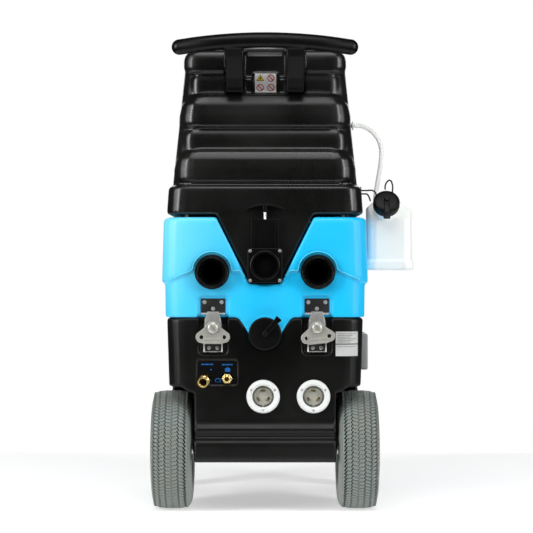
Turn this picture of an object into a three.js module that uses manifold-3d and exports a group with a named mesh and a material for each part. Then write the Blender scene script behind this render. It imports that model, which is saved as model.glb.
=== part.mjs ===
// Portable carpet cleaner on two rear wheels and two front casters, in millimetres, +Z up.
// The operator stands on the -Y side, at the handle. A clear-lidded recovery tank nests in the
// V of the solution tank, and both stand on a base that holds the vacuum motors and the pump.
// Everything is placed from the middle of the rear axle at floor level. At the end the machine
// is moved so that the origin is the middle of its footprint.
import * as THREE from "three";
import Module from "manifold-3d";
import { mergeVertices } from "three/addons/utils/BufferGeometryUtils.js";

const wasm = await Module();
wasm.setup();

// ---- driving dimensions ----
const gap = 0.4; // between pieces that touch
const rearFace = -100;
const frontFace = 560;
const tyre = { radius: 130, width: 90, track: 408 };
const axleHeight = tyre.radius;
const axleRadius = 8;
const base = {
  top: 424, sideBottom: 274, half: 214, halfLow: 209, throat: 153.5, floor: 111.5, frontFloor: 132,
};
const wall = 6;
const rearWall = 14;
const tankTop = 642; // top of the solution tank
const vee = { bottom: 497, halfAt509: 39.8, slope: 0.5015, fit: 3.5 };
const portPlace = { x: 114.5, z: 523.5, ring: 37.9, bore: 25.5 };
const riser = { x: 160, y: -25, radius: 26 };
const valve = { z: 537, half: 37.5, bore: 26 };
const capPlace = { z: 390, radius: 35.7 };
const latch = { x: 112.5, boltZ: 402.5, pivotY: -99, pivotZ: 378 };
const inletPlace = { left: -4, right: 105, z: 253.6, flange: 36.2 };
const panel = { x0: -148, x1: -59, z0: 277.4, z1: 332.6, depth: 5 };
const band = { bottom: 648, top: 711, half: 214.5 };
const tower = { top: 1018, halfLow: 203.5, halfTop: 172 };
const lidPlace = { y: 335, opening: 100, collar: 112, collarTop: 915, hingeY: 198, hingeZ: 915 };
const stack = { y: 45, radius: 27, bore: 24, top: 965 };
const caster = { x: 200, y: 470, trail: 35, radius: 51, width: 30 };
const jugPlace = { x0: 229, x1: 328, y0: 0, y1: 130, z0: 526.5, top: 680, neckTilt: 35 };
const wire = { radius: 1.75, y: 56.6 };
const siphon = { radius: 5, y: 70, elbowZ: 853 };

// ---- materials ----
const finish = (colour, roughness, metalness = 0, more = {}) =>
  new THREE.MeshStandardMaterial({ color: colour, roughness, metalness, ...more });
const blackPolyethylene = finish(0x1d1d1c, 0.5);
const bluePolyethylene = finish(0x1db8f2, 0.45);
const blackNylon = finish(0x101010, 0.4);
const blackRubber = finish(0x161616, 0.75);
const greyRubber = finish(0x8c9391, 0.8);
const zincSteel = finish(0xc9c8c2, 0.35, 0.9);
const brass = finish(0xc9a24a, 0.3, 0.9);
const whiteNylon = finish(0xe8ebe8, 0.5);
const greyNylon = finish(0x9a978c, 0.5);
const naturalHdpe = finish(0xf1f3f1, 0.45, 0, { transparent: true, opacity: 0.85 });
const clearVinyl = finish(0xeef2f0, 0.25, 0, { transparent: true, opacity: 0.5 });
const clearLid = finish(0xe6eef0, 0.1, 0, { transparent: true, opacity: 0.3 });
const blackSteel = finish(0x18181a, 0.45, 0.4);
const motorShell = finish(0x18181a, 0.5);
const redNylon = finish(0xa81818, 0.4);

// ---- shapes ----
const radians = THREE.MathUtils.degToRad;

function solid(geometry) {
  const bare = geometry.index ? geometry.toNonIndexed() : geometry.clone();
  const points = new THREE.BufferGeometry().setAttribute("position", bare.getAttribute("position"));
  const merged = mergeVertices(points, 1e-3);
  const vertProperties = merged.attributes.position.array;
  const triVerts = new Uint32Array(merged.index.array);
  const made = new wasm.Manifold(new wasm.Mesh({ numProp: 3, vertProperties, triVerts }));
  if (made.volume() >= 0) return made;
  return new wasm.Manifold(new wasm.Mesh({ numProp: 3, vertProperties, triVerts: triVerts.reverse() }));
}

const join = (...pieces) => pieces.reduce((all, piece) => all.add(piece));
const cut = (body, ...tools) => tools.reduce((left, tool) => left.subtract(tool), body);
const bothSides = (make) => [make(-1), make(1)];

function mesh(name, body, material) {
  const { vertProperties, triVerts } = body.getMesh();
  const geometry = new THREE.BufferGeometry();
  geometry.setAttribute("position", new THREE.BufferAttribute(vertProperties, 3));
  geometry.setIndex(new THREE.BufferAttribute(triVerts, 1));
  geometry.computeVertexNormals();
  const made = new THREE.Mesh(geometry, material);
  made.name = name;
  return made;
}

function box(x0, x1, y0, y1, z0, z1) {
  const geometry = new THREE.BoxGeometry(x1 - x0, y1 - y0, z1 - z0);
  geometry.translate((x0 + x1) / 2, (y0 + y1) / 2, (z0 + z1) / 2);
  return solid(geometry);
}

// Points of an arc round (u, v), from one angle to another, in degrees.
function arc(u, v, radius, from, to, steps) {
  return Array.from({ length: steps + 1 }, (_, i) => {
    const angle = radians(from + ((to - from) * i) / steps);
    return [u + radius * Math.cos(angle), v + radius * Math.sin(angle)];
  });
}

const mirrored = (half) => [...half, ...half.map(([u, v]) => [-u, v]).reverse()];
const shapeOf = (points) => new THREE.Shape(points.map(([u, v]) => new THREE.Vector2(u, v)));
const extruded = (points, depth) =>
  new THREE.ExtrudeGeometry(shapeOf(points), { depth, bevelEnabled: false });

// A prism along Z from an outline in X and Y, along Y from X and Z, or along X from Y and Z.
const prismY = (points, y0, y1) => solid(extruded(points, y1 - y0).rotateX(Math.PI / 2).translate(0, y1, 0));
function prismX(points, x0, x1) {
  const turn = new THREE.Matrix4().makeBasis(
    new THREE.Vector3(0, 1, 0),
    new THREE.Vector3(0, 0, 1),
    new THREE.Vector3(1, 0, 0),
  );
  return solid(extruded(points, x1 - x0).applyMatrix4(turn).translate(x0, 0, 0));
}

// A body turned round the X, Y or Z axis from [radius, place along the axis] points, then moved to a point.
function turned(axis, profile, at, segments) {
  const geometry = new THREE.LatheGeometry(profile.map(([r, h]) => new THREE.Vector2(r, h)), segments);
  if (axis === "x") geometry.rotateZ(-Math.PI / 2);
  if (axis === "z") geometry.rotateX(Math.PI / 2);
  return solid(geometry.translate(...at));
}

const rod = (axis, radius, from, to, at, segments = 16) =>
  turned(axis, [[0, from], [radius, from], [radius, to], [0, to]], at, segments);
const ring = (axis, inner, outer, from, to, at, segments = 24) =>
  turned(axis, [[inner, from], [outer, from], [outer, to], [inner, to], [inner, from]], at, segments);

// The rounded outline of a tank seen from above.
function plan(half, y0, y1, rearRadius, frontRadius = rearRadius, steps = 4) {
  return [
    ...arc(half - rearRadius, y0 + rearRadius, rearRadius, -90, 0, steps),
    ...arc(half - frontRadius, y1 - frontRadius, frontRadius, 0, 90, steps),
    ...arc(-half + frontRadius, y1 - frontRadius, frontRadius, 90, 180, steps),
    ...arc(-half + rearRadius, y0 + rearRadius, rearRadius, 180, 270, steps),
  ];
}

// A closed body through outlines of equal length, each at its own height.
function loft(levels) {
  const count = levels[0].outline.length;
  const points = levels.flatMap(({ z, outline }) => outline.map(([x, y]) => [x, y, z]));
  const faces = [];
  for (let level = 0; level < levels.length - 1; level++)
    for (let i = 0; i < count; i++) {
      const a = level * count + i;
      const b = level * count + ((i + 1) % count);
      faces.push([a, b, b + count], [a, b + count, a + count]);
    }
  const last = (levels.length - 1) * count;
  for (let i = 1; i < count - 1; i++) faces.push([0, i + 1, i], [last, last + i, last + i + 1]);
  const positions = faces.flatMap((face) => face.flatMap((index) => points[index]));
  const corners = new THREE.Float32BufferAttribute(positions, 3);
  return solid(new THREE.BufferGeometry().setAttribute("position", corners));
}

// A round bar along a smooth curve through points.
function bar(points, radius, sides, steps, kind = "centripetal") {
  const curve = new THREE.CatmullRomCurve3(points.map((p) => new THREE.Vector3(...p)), false, kind);
  const section = shapeOf(arc(0, 0, radius, 0, 360 - 360 / sides, sides - 1));
  return solid(new THREE.ExtrudeGeometry(section, { extrudePath: curve, steps, bevelEnabled: false }));
}

// Half of the width of the V between the solution tank's lobes, drawn in by an inset.
const veeHalf = (z, inset = 0) => vee.halfAt509 + (z - 509) * vee.slope - inset * 1.118;
const veeOutline = (z0, z1, inset = 0) =>
  mirrored([[veeHalf(z0, inset), z0], [veeHalf(z1, inset), z1]]);

// The lobe of the solution tank that carries the drain neck, grown by a fit.
const lobeOutline = (fit, top) => [
  [64 + fit, top],
  [64 + fit, base.top + 0.5 - fit],
  [56 + fit, 421.5 - fit],
  [50 + fit, 413],
  ...arc(0, 391, 36 + fit, 0, -180, 12),
  [-50 - fit, 413],
  [-56 - fit, 421.5 - fit],
  [-64 - fit, base.top + 0.5 - fit],
  [-64 - fit, top],
];

// ---- base ----
function baseHousing() {
  const rearFoot = [
    [rearFace, 275],
    [rearFace, 200],
    ...arc(-101, 181, 9, 110, 230, 5),
    [-103.5, 168],
    ...arc(-104, 149, 14, 100, 180, 4),
    ...arc(-110, 119.5, 8, 180, 270, 3),
    [170, base.floor],
    [205, base.frontFloor],
    [205, 275],
  ];
  const upper = loft([
    { z: 262, outline: plan(base.halfLow, rearFace, frontFace, 40, 60) },
    { z: base.top - 5, outline: plan(base.half, rearFace, frontFace, 40, 60) },
    { z: base.top, outline: plan(base.half - 4, rearFace + 1.5, frontFace - 4, 40, 60) },
  ]);
  const frontFoot = loft([
    { z: base.frontFloor, outline: plan(225, 90, frontFace - 4, 20, 50) },
    { z: base.frontFloor + 8, outline: plan(229, 84, frontFace, 26, 54) },
    { z: 200, outline: plan(226, 84, frontFace, 26, 56) },
    { z: 250, outline: plan(212, 84, frontFace, 26, 60) },
    { z: 270, outline: plan(base.halfLow, 84, frontFace, 26, 60) },
  ]);
  const wells = (side, grow) => {
    const inner = 156 - grow;
    const flat = [
      [inner, 0], [inner, 258 + grow], [182, base.sideBottom + grow], [280, base.sideBottom + grow],
      [280, 0],
    ];
    const outline = flat.map(([x, z]) => [side * x, z]);
    const from = Math.min(side * inner, side * 280);
    const arch = arc(0, axleHeight, base.sideBottom + grow - axleHeight, -10, 190, 14);
    return join(prismY(outline, -200, 1), prismX([...arch, [-150, 0], [150, 0]], from, from + 280 - inner));
  };
  const cavity = cut(
    join(
      loft([
        { z: 250, outline: plan(base.halfLow - wall, rearFace + rearWall, frontFace - wall, 30, 54) },
        { z: base.top + 6, outline: plan(base.half - wall, rearFace + rearWall, frontFace - wall, 30, 54) },
      ]),
      box(-base.throat + wall, base.throat - wall, rearFace + rearWall, 178, base.floor + wall, 300),
      loft([
        { z: base.frontFloor + wall, outline: plan(base.halfLow - wall, 150, frontFace - wall, 20, 54) },
        { z: 300, outline: plan(base.halfLow - wall, 150, frontFace - wall, 20, 54) },
      ]),
    ),
    ...bothSides((side) => wells(side, wall)),
  );
  const throat = prismX(rearFoot, -base.throat, base.throat);
  const body = cut(join(upper, cut(frontFoot), throat), ...bothSides((side) => wells(side, 0)), cavity);
  const latchPocket = (side) => {
    const x = side * latch.x;
    return prismY([
      [x - 31, 350], [x - 25, 344], [x + 25, 344], [x + 31, 350], [x + 31, 440], [x - 31, 440],
    ], -110, -92);
  };
  return cut(
    body,
    rod("x", axleRadius + 0.5, -170, 170, [0, 0, axleHeight], 20),
    ...bothSides(latchPocket),
    prismY(lobeOutline(0.5, 440), -110, -60),
    box(panel.x0, panel.x1, rearFace - 10, rearFace + panel.depth, panel.z0, panel.z1),
    rod("y", 7, -110, -80, [-131, 0, 289], 16),
    rod("y", 6, -110, -80, [-82, 0, 292.5], 16),
    rod("y", 25.5, -110, -80, [inletPlace.left, 0, inletPlace.z], 24),
    rod("y", 25.5, -110, -80, [inletPlace.right, 0, inletPlace.z], 24),
    box(195, 225, 45, 165, 316, 372),
    box(-116, 116, 540, 570, 314, 386),
  );
}

function ventCover() {
  const x0 = 213.4;
  const cover = loft([
    { z: 304, outline: [[x0, 34], [228, 38], [228, 172], [x0, 176]] },
    { z: 308, outline: [[x0, 30], [232, 34], [232, 176], [x0, 180]] },
    { z: 380, outline: [[x0, 30], [232, 34], [232, 176], [x0, 180]] },
    { z: 384, outline: [[x0, 34], [228, 38], [228, 172], [x0, 176]] },
  ]);
  const slots = [0, 1, 2, 3, 4].map((i) => box(x0 - 5, 240, 44, 166, 315 + i * 12.5, 321 + i * 12.5));
  return cut(cover, ...slots);
}

// ---- solution tank ----
function solutionTank() {
  const ridge = [
    [0, 497],
    [36, 497],
    [41.8, 510.8],
    [53.2, 525.5],
    ...arc(portPlace.x, portPlace.z, 42, 177.3, 2.7, 12),
    [159.5, 525.5],
    [198, 509],
    [240, 493],
    [240, 660],
    [0, 660],
  ];
  const lower = loft([
    { z: base.top + 0.5, outline: plan(217.5, rearFace, frontFace + 2, 42, 62) },
    { z: 600, outline: plan(219.5, rearFace, frontFace + 2, 42, 62) },
  ]);
  const upper = loft([
    { z: 485, outline: plan(225.5, rearFace - 5, frontFace + 7, 45, 66) },
    { z: tankTop - 9, outline: plan(221.5, rearFace - 5, frontFace + 5, 45, 66) },
    { z: tankTop - 2.5, outline: plan(218.5, rearFace - 2, frontFace + 2, 45, 66) },
    { z: tankTop, outline: plan(213, rearFace + 3.5, frontFace - 4, 45, 66) },
  ]);
  const shoulders = prismY([...ridge, ...ridge.slice(1, -1).map(([x, z]) => [-x, z]).reverse()], -120, 600);
  const neckPlace = [0, 0, capPlace.z];
  const outer = join(
    lower,
    upper.intersect(shoulders),
    prismY(lobeOutline(0, base.top + 4), rearFace, -64),
    rod("y", 30, -121, rearFace + 2, neckPlace, 24),
  );
  const cavity = cut(
    loft([
      { z: base.top + 0.5 + wall, outline: plan(217.5 - wall, rearFace + rearWall, frontFace - 4, 32, 56) },
      { z: tankTop - wall, outline: plan(215, rearFace + rearWall, frontFace - 4, 32, 56) },
    ]),
    prismY(veeOutline(vee.bottom - wall, 680, -wall), -130, 600),
  );
  const lobeCavity = box(-30, 30, rearFace + wall, -64 - wall, 366, 450);
  const latchPocket = (side) => {
    const x = side * latch.x;
    return prismY([
      [x - 32.5, 420], [x + 32.5, 420], [x + 32.5, 466], [x + 27, 471.5], [x - 27, 471.5],
      [x - 32.5, 466],
    ], -110, -92);
  };
  return cut(
    outer,
    prismY(veeOutline(vee.bottom, 700), -130, 600),
    rod("y", 44, -120, -92, [0, 0, valve.z], 28),
    box(-38.5, 38.5, -130, -98.8, 498.5, 575.5),
    cavity,
    lobeCavity,
    rod("y", 24, -130, -85, neckPlace, 24),
    ...bothSides(latchPocket),
    ...bothSides((side) => rod("y", 31.5, -120, -80, [side * portPlace.x, 0, portPlace.z], 24)),
    ...bothSides((side) => rod("z", riser.radius + 1, 620, 660, [side * riser.x, riser.y, 0], 16)),
    rod("z", stack.radius + 0.6, 415, 505, [0, stack.y, 0], 20),
  );
}

function hosePort(side) {
  const { x, z, ring: outer, bore } = portPlace;
  const collar = turned("y", [
    [bore, -84], [bore, -114], [28.5, -119], [34.5, -119], [outer, -115], [outer, -105.4],
    [30.5, -105.4], [30.5, -84], [bore, -84],
  ], [side * x, 0, z], 20);
  const route = (from) => [
    [side * x, from, z], [side * x, -78, z], [side * (x + 14), -56, z], [side * (riser.x - 8), -36, z + 10],
    [side * riser.x, riser.y, z + 36], [side * riser.x, riser.y, z + 90], [side * riser.x, riser.y, 660],
  ];
  const pipe = cut(
    bar(route(-90), riser.radius, 8, 7),
    bar([...route(-95).slice(0, -1), [side * riser.x, riser.y, 666]], riser.radius - 3, 8, 7),
  );
  return join(collar, pipe);
}

// ---- recovery tank ----
// A moulded roll across the back of the tower. Its top falls away from the bulge in a long
// curve, its lower edge is tighter, and its ends are round in plan and draw in faster than its back.
const endDraw = 0.9;
function roll(z0, z1, half, rear, corner, fall, drop, under) {
  const level = (z, inset) => ({
    z,
    outline: [
      ...arc(half - corner - inset * endDraw, rear + corner, corner - inset, -90, 0, 4),
      [half - inset * (1 + endDraw), 70],
      [-half + inset * (1 + endDraw), 70],
      ...arc(-half + corner + inset * endDraw, rear + corner, corner - inset, 180, 270, 4),
    ],
  });
  const lower = [0, 45, 90].map((angle) => {
    const turn = radians(angle);
    return level(z0 + under * (1 - Math.cos(turn)), under * (1 - Math.sin(turn)));
  });
  const upper = [0, 30, 60, 90].map((angle) => {
    const turn = radians(angle);
    return level(z1 - drop + drop * Math.sin(turn), fall * (1 - Math.cos(turn)));
  });
  return loft([...lower, ...upper]);
}

function recoveryTank() {
  const outerSide = [
    [-84, 700], [-66, 830], [-50, 935], [-44, 1000], [-30, tower.top - 3], [-18, tower.top], [92, tower.top],
    [108, 1010], [116, 996], [128, 908], [136, 897], [150, 893], [492, 882], [520, 877], [540, 862],
    [550, 838], [556, 700],
  ];
  const innerSide = [
    [-70, 654], [-56, 760], [-10, 905], [-2, 1008], [88, 1008], [102, 998], [116, 900], [130, 886],
    [490, 875], [530, 858], [543, 836], [549, 654],
  ];
  const levels = (z0, z1, inset, y0, y1) => [
    { z: z0, outline: plan(tower.halfLow - inset, y0, 556 - inset, 42, 70) },
    { z: z1, outline: plan(tower.halfTop - inset, y1, 556 - inset, 42, 70) },
  ];
  const rolls = [
    roll(717, 790, 199, -95, 46, 17, 42, 9),
    roll(786, 836, 181, -76, 26, 9, 22, 6),
    roll(836, 914, 188.5, -82, 46, 20, 50, 12),
    roll(908, 957, 164, -61, 22, 7, 18, 6),
    roll(957, 1009, 178.5, -67, 30, 12, 22, 12),
  ];
  const tallBody = prismX(outerSide, -230, 230).intersect(loft(levels(700, 1020, 0, -84, -46)));
  const skirt = loft([
    { z: band.bottom, outline: plan(band.half - 4, rearFace + 4, 554, 40, 60) },
    { z: band.bottom + 4, outline: plan(band.half, rearFace, 558, 42, 62) },
    { z: band.top - 7, outline: plan(211, rearFace + 2, 557, 42, 62) },
    { z: band.top - 2, outline: plan(209, rearFace + 4, 555, 42, 62) },
    { z: band.top, outline: plan(204, rearFace + 9, 550, 40, 60) },
  ]);
  const keel = prismY(veeOutline(vee.bottom + vee.fit, band.bottom + 10, vee.fit), rearFace + 1.5, 555);
  const collar = rod("z", lidPlace.collar, 870, lidPlace.collarTop, [0, lidPlace.y, 0], 28);
  const ears = [box(-30, -23, 190, 206, 880, 923), box(23, 30, 190, 206, 880, 923)];
  const channel = join(
    box(-86, 86, -140, -52, 913, 1040),
    box(-47, 47, -140, -36, 913, 1040),
    prismX([[-60, 950], [-24, 950], [-24, 1004], [-36, 1013], [-60, 1013]], -47, 47),
  );
  const pad = box(-24, 27, -42, -30, 915, 960);
  const shell = cut(join(skirt, tallBody, ...rolls), channel);
  const outer = join(shell, pad, keel, collar, ...ears);
  const keelRoom = veeOutline(vee.bottom + vee.fit + wall, band.bottom + 20, vee.fit + wall);
  const cavity = join(
    prismX(innerSide, -230, 230).intersect(loft(levels(640, 1020, 7, -70, -34))),
    loft([
      { z: band.bottom + wall, outline: plan(band.half - 10, rearFace + rearWall, 549, 32, 54) },
      { z: band.top - 8, outline: plan(203, rearFace + rearWall, 549, 32, 54) },
    ]),
    prismY(keelRoom, rearFace + rearWall, 548),
  );
  return cut(
    outer,
    cavity,
    rod("z", lidPlace.opening, 850, 930, [0, lidPlace.y, 0], 28),
    rod("y", valve.bore, -110, -80, [0, 0, valve.z], 24),
    ...bothSides((side) => rod("z", riser.radius + 1, 640, 664, [side * riser.x, riser.y, 0], 16)),
    rod("z", stack.radius + 0.6, 490, 515, [0, stack.y, 0], 20),
    rod("x", 5.4, 170, 215, [0, siphon.y, siphon.elbowZ], 12),
    rod("x", 4.5, -35, 35, [0, lidPlace.hingeY, lidPlace.hingeZ], 12),
  );
}

function standpipe() {
  const pipe = join(
    rod("z", stack.radius, 300, stack.top, [0, stack.y, 0], 20),
    rod("z", 33, 832, 839, [0, stack.y, 0], 20),
  );
  const windows = [
    box(-40, 40, stack.y - 9, stack.y + 9, 915, 950),
    box(-9, 9, stack.y - 40, stack.y + 40, 915, 950),
  ];
  return cut(pipe, rod("z", stack.bore, 290, stack.top - 4, [0, stack.y, 0], 20), ...windows);
}

function lid() {
  const z = lidPlace.collarTop;
  const dome = turned("z", [
    [0, z + 27], [50, z + 23], [97, z + 4.3], [116, z + 4.3], [116, z - 10], [124, z - 10],
    [125, z + 2], [113, z + 10], [97, z + 11], [80, z + 21], [46, z + 29], [0, z + 32],
  ], [0, lidPlace.y, 0], 28);
  const barrel = rod("x", 6, -22, 22, [0, lidPlace.hingeY, lidPlace.hingeZ], 16);
  const pins = rod("x", 4, -29.5, 29.5, [0, lidPlace.hingeY, lidPlace.hingeZ], 12);
  const arm = box(-16, 16, lidPlace.hingeY, 217, z - 3, z + 5);
  return join(dome, barrel, pins, arm);
}

// ---- handle ----
const handleEnd = { x: 197, y: -116, z: 1008 };
function handle() {
  const reach = handleEnd.x - 15;
  const spine = [-1, -0.66, -0.33, 0, 0.33, 0.66, 1].map((t) => [
    reach * t,
    -148 + (148 + handleEnd.y) * t * t,
    1019 - (1019 - handleEnd.z) * t * t,
  ]);
  const ends = bothSides((side) => {
    const cap = new THREE.SphereGeometry(16.2, 8, 5);
    return solid(cap.translate(side * reach, handleEnd.y, handleEnd.z));
  });
  const armSide = [
    [-98, 913.5], [-52.5, 913.5], [-52.5, 930], [-62, 941], [-84, 968], [-120, 1004], [-138, 1012],
    [-156, 1012], [-140, 985], [-112, 942], [-101, 922],
  ];
  const arms = bothSides((side) => prismX(armSide, side * 66.5 - 18.5, side * 66.5 + 18.5));
  return join(bar(spine, 16.2, 10, 10), ...ends, ...arms);
}

// ---- dump valve ----
function dumpValveBody() {
  const h = valve.half;
  const plate = prismY([
    [-h, valve.z - h + 4], [-h + 4, valve.z - h], [h - 4, valve.z - h], [h, valve.z - h + 4],
    [h, valve.z + h - 4], [h - 4, valve.z + h], [-h + 4, valve.z + h], [-h, valve.z + h - 4],
  ], -112, -99.2);
  const house = box(-29.5, 29.5, -110, -99.5, valve.z + h - 2, 637);
  const lip = ring("y", valve.bore, 31, -118, -111, [0, 0, valve.z], 24);
  return cut(
    join(plate, house, lip),
    rod("y", valve.bore, -125, -90, [0, 0, valve.z], 24),
    box(-27, 27, -107.2, -103.8, valve.z - 31, 633),
    rod("z", 3.6, 562, 645, [0, -105.5, 0], 12),
  );
}

const dumpGate = () => box(-26.4, 26.4, -106.7, -104.3, valve.z - 30, 566);

function dumpPull() {
  const outline = [...arc(0, 569.8, 100.2, 114.5, 65.5, 10), ...arc(0, 569.8, 96.2, 65.5, 114.5, 10)];
  const grip = prismY(outline, -115, -101);
  const boss = rod("z", 5, 654, 668, [0, -105.5, 0], 12);
  return join(grip, boss, rod("z", 3, 566.4, 668, [0, -105.5, 0], 12));
}

// ---- caps ----
function fillCap() {
  const at = [0, 0, capPlace.z];
  const r = capPlace.radius;
  const cap = turned("y", [
    [0, -129], [r - 3, -129], [r, -126.5], [r, -103], [30.8, -103], [30.8, -124.5], [0, -124.5],
  ], at, 24);
  const strap = new THREE.BoxGeometry(12, 4, 44).translate(0, -130, 22);
  const tab = new THREE.BoxGeometry(14, 20, 6).translate(0, -122, 43);
  const turn = new THREE.Matrix4().makeRotationY(radians(42));
  const place = (geometry) => solid(geometry.applyMatrix4(turn).translate(...at));
  return join(cap, place(strap), place(tab), rod("y", 5, -135, -128, at, 12));
}

// ---- latches ----
function latchKeeper(side) {
  const x = side * latch.x;
  return join(box(x - 26, x + 26, -94, -92.4, 430.7, 465.5), box(x - 26, x + 26, -106, -93, 430.7, 433));
}

function latchBase(side) {
  const x = side * latch.x;
  const ear = (end) => {
    const from = x + end * 19.4 - 1.2;
    return prismX([
      [-93, 350], [-102, 350], [-104, 368], [-104, 380], [-100, 385], [-93, 385],
    ], from, from + 2.4);
  };
  const pin = rod("x", 2.9, x - 25, x + 25, [0, latch.pivotY, latch.pivotZ], 12);
  return cut(join(box(x - 20.6, x + 20.6, -94, -92.4, 350, 412), ear(-1), ear(1)), pin);
}

// The bolt and the block that tips on the base's ears.
function latchCarrier(side) {
  const x = side * latch.x;
  const at = [x, 0, latch.boltZ];
  return join(
    box(x - 17.3, x + 17.3, -104, -96, 373.5, 409),
    rod("x", 2.5, x - 20.4, x + 20.4, [0, latch.pivotY, latch.pivotZ], 12),
    rod("y", 4, -120, -103, at, 10),
    turned("y", [[0, -121.5], [8, -121.5], [11.7, -119.5], [11.7, -117], [0, -117]], at, 14),
  );
}

function latchHook(side) {
  const x = side * latch.x;
  const plate = [[18, 386], [18, 420], [12.5, 436.6]];
  const outline = mirrored(plate).map(([u, v]) => [x + u, v]);
  return cut(
    join(prismY(outline, -109.5, -107.3), box(x - 12, x + 12, -109, -97.2, 434.4, 436.6)),
    box(x - 4.7, x + 4.7, -115, -105, 391.5, 407.5),
  );
}

function latchWing(side) {
  const x = side * latch.x;
  const half = [
    [9, 12], [14, 5], [20, -1], [31, -10], ...arc(25, -20, 12, 50, -70, 5), [22, -32.5],
  ];
  const outline = mirrored(half).map(([u, v]) => [x + u, latch.boltZ + v]);
  const ear = (end) => rod("y", 4.4, -120, -110, [x + end * 24.5, 0, latch.boltZ - 20], 12);
  const boltHole = rod("y", 4.5, -120, -110, [x, 0, latch.boltZ], 14);
  return cut(prismY(outline, -115.6, -112.6), ear(-1), ear(1), boltHole);
}

// ---- rear fittings ----
function fittingPanel() {
  const back = rearFace + panel.depth - gap;
  const plate = box(panel.x0 + 1.5, panel.x1 - 1.5, -97.6, back, panel.z0 + 1.5, panel.z1 - 1.5);
  return cut(plate, rod("y", 7, -110, -80, [-131, 0, 289], 16), rod("y", 6, -110, -80, [-82, 0, 292.5], 16));
}

function solutionOutlet() {
  const at = [-131, 0, 289];
  return cut(
    join(
      rod("y", 13.2, -107, -100.4, at, 6),
      rod("y", 10.6, -128, -105, at, 16),
      rod("y", 10, -101, -98, at, 16),
      rod("y", 6.5, -99, -78, at, 12),
    ),
    rod("y", 5.2, -135, -70, at, 12),
  );
}

function autoFillNipple() {
  const at = [-82, 0, 292.5];
  const nose = turned("y", [
    [0, -125], [5.2, -125], [5.6, -117], [4.4, -115.5], [4.4, -113.5], [6.2, -112], [6.2, -100], [0, -100],
  ], at, 12);
  const hex = rod("y", 11.2, -108, -98, at, 6);
  const shank = rod("y", 5.5, -101, -78, at, 12);
  return cut(join(hex, nose, shank), rod("y", 2.6, -135, -70, at, 8));
}

const inletFlange = (x) =>
  turned("y", [
    [23.4, -76], [24.6, -76], [24.6, -100.4], [inletPlace.flange, -100.4], [inletPlace.flange, -106],
    [33, -109.5], [26, -109.5], [23.4, -104], [23.4, -76],
  ], [x, 0, inletPlace.z], 18);
// Three blades stand on the core, evenly round a circle.
function inletCore(x) {
  const blades = [90, 210, 330].map((degrees) => {
    const blade = new THREE.BoxGeometry(7, 12, 1.8).translate(0, -97.5, 12);
    return solid(blade.rotateY(radians(degrees - 90)).translate(x, 0, inletPlace.z));
  });
  return join(rod("y", 23, -92, -76, [x, 0, inletPlace.z], 18), ...blades);
}

// ---- front panel ----
const gaugePlace = { x: 42, z: 350 };
const knobPlace = { x: 92, z: 350 };
const switchPlaces = { vac_one: -92, vac_two: -55, pump: -18 };
const panelFront = 566;

function switchPanel() {
  const plate = prismY([
    [-125, 308], [-121, 304], [121, 304], [125, 308], [125, 392], [121, 396], [-121, 396], [-125, 392],
  ], 560.4, panelFront);
  const windows = Object.values(switchPlaces).map((x) => box(x - 10.5, x + 10.5, 550, 580, 335, 365));
  return cut(
    plate,
    ...windows,
    rod("y", 20.5, 550, 580, [gaugePlace.x, 0, gaugePlace.z], 24),
    rod("y", 5, 550, 580, [knobPlace.x, 0, knobPlace.z], 12),
  );
}

const rockerSide = [
  [555, 342], [567, 337.5], [570.5, 338.5], [568, 350], [570.5, 361.5], [567, 362.5], [555, 358],
];
const switchRocker = (x) => prismX(rockerSide, x - 9.8, x + 9.8);

function gaugeBody() {
  return turned("y", [
    [0, 535], [20, 535], [20, 566.4], [27, 566.4], [27, 577], [23, 577], [23, 571], [0, 571],
  ], [gaugePlace.x, 0, gaugePlace.z], 20);
}

function gaugeNeedle() {
  const pointer = prismY(mirrored([[0.8, 16], [2, 2], [3.4, -9]]), 572, 573.2);
  return pointer.rotate([0, 135, 0]).translate([gaugePlace.x, 0, gaugePlace.z]);
}

function regulatorKnob() {
  const at = [knobPlace.x, 0, knobPlace.z];
  const skirt = rod("y", 16, 566.6, 571, at, 20);
  const bar = box(at[0] - 4, at[0] + 4, 570, 586, at[2] - 15, at[2] + 15);
  return join(skirt, bar, rod("y", 4.5, 540, 568, at, 12));
}

// ---- running gear ----
function tyreBody(side) {
  const w = tyre.width / 2;
  const half = [[51.3, 28], [68, 39.5], [96, w], [117, 39], [127, 30], [tyre.radius, 10]];
  const profile = [...half.map(([r, h]) => [r, -h]), ...half.slice().reverse(), half[0]];
  profile[profile.length - 1] = [half[0][0], -half[0][1]];
  return turned("x", profile, [(side * tyre.track) / 2, 0, axleHeight], 32);
}

function rim(side) {
  const profile = [
    [8.5, -32], [17, -32], [17, -10], [40, -10], [47, -32], [50.5, -32], [50.5, 32], [47, 32],
    [40, 10], [17, 10], [17, 32], [8.5, 32], [8.5, -32],
  ];
  return turned("x", profile, [(side * tyre.track) / 2, 0, axleHeight], 16);
}

const axle = () =>
  join(
    rod("x", axleRadius, -240, 240, [0, 0, axleHeight], 20),
    ...bothSides((side) => turned("x", [
      [0, side * 237], [10, side * 237], [13, side * 238], [13, side * 241], [0, side * 244],
    ], [0, 0, axleHeight], 16)),
  );

function casterPlate(side) {
  const x = side * caster.x;
  const plate = box(x - 24, x + 24, caster.y - 46, caster.y + 46, 127.6, base.frontFloor - gap);
  const race = rod("z", 24, 120, 128, [x, caster.y, 0], 20);
  return cut(join(plate, race), rod("z", 6.5, 118, 135, [x, caster.y, 0], 12));
}

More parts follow.
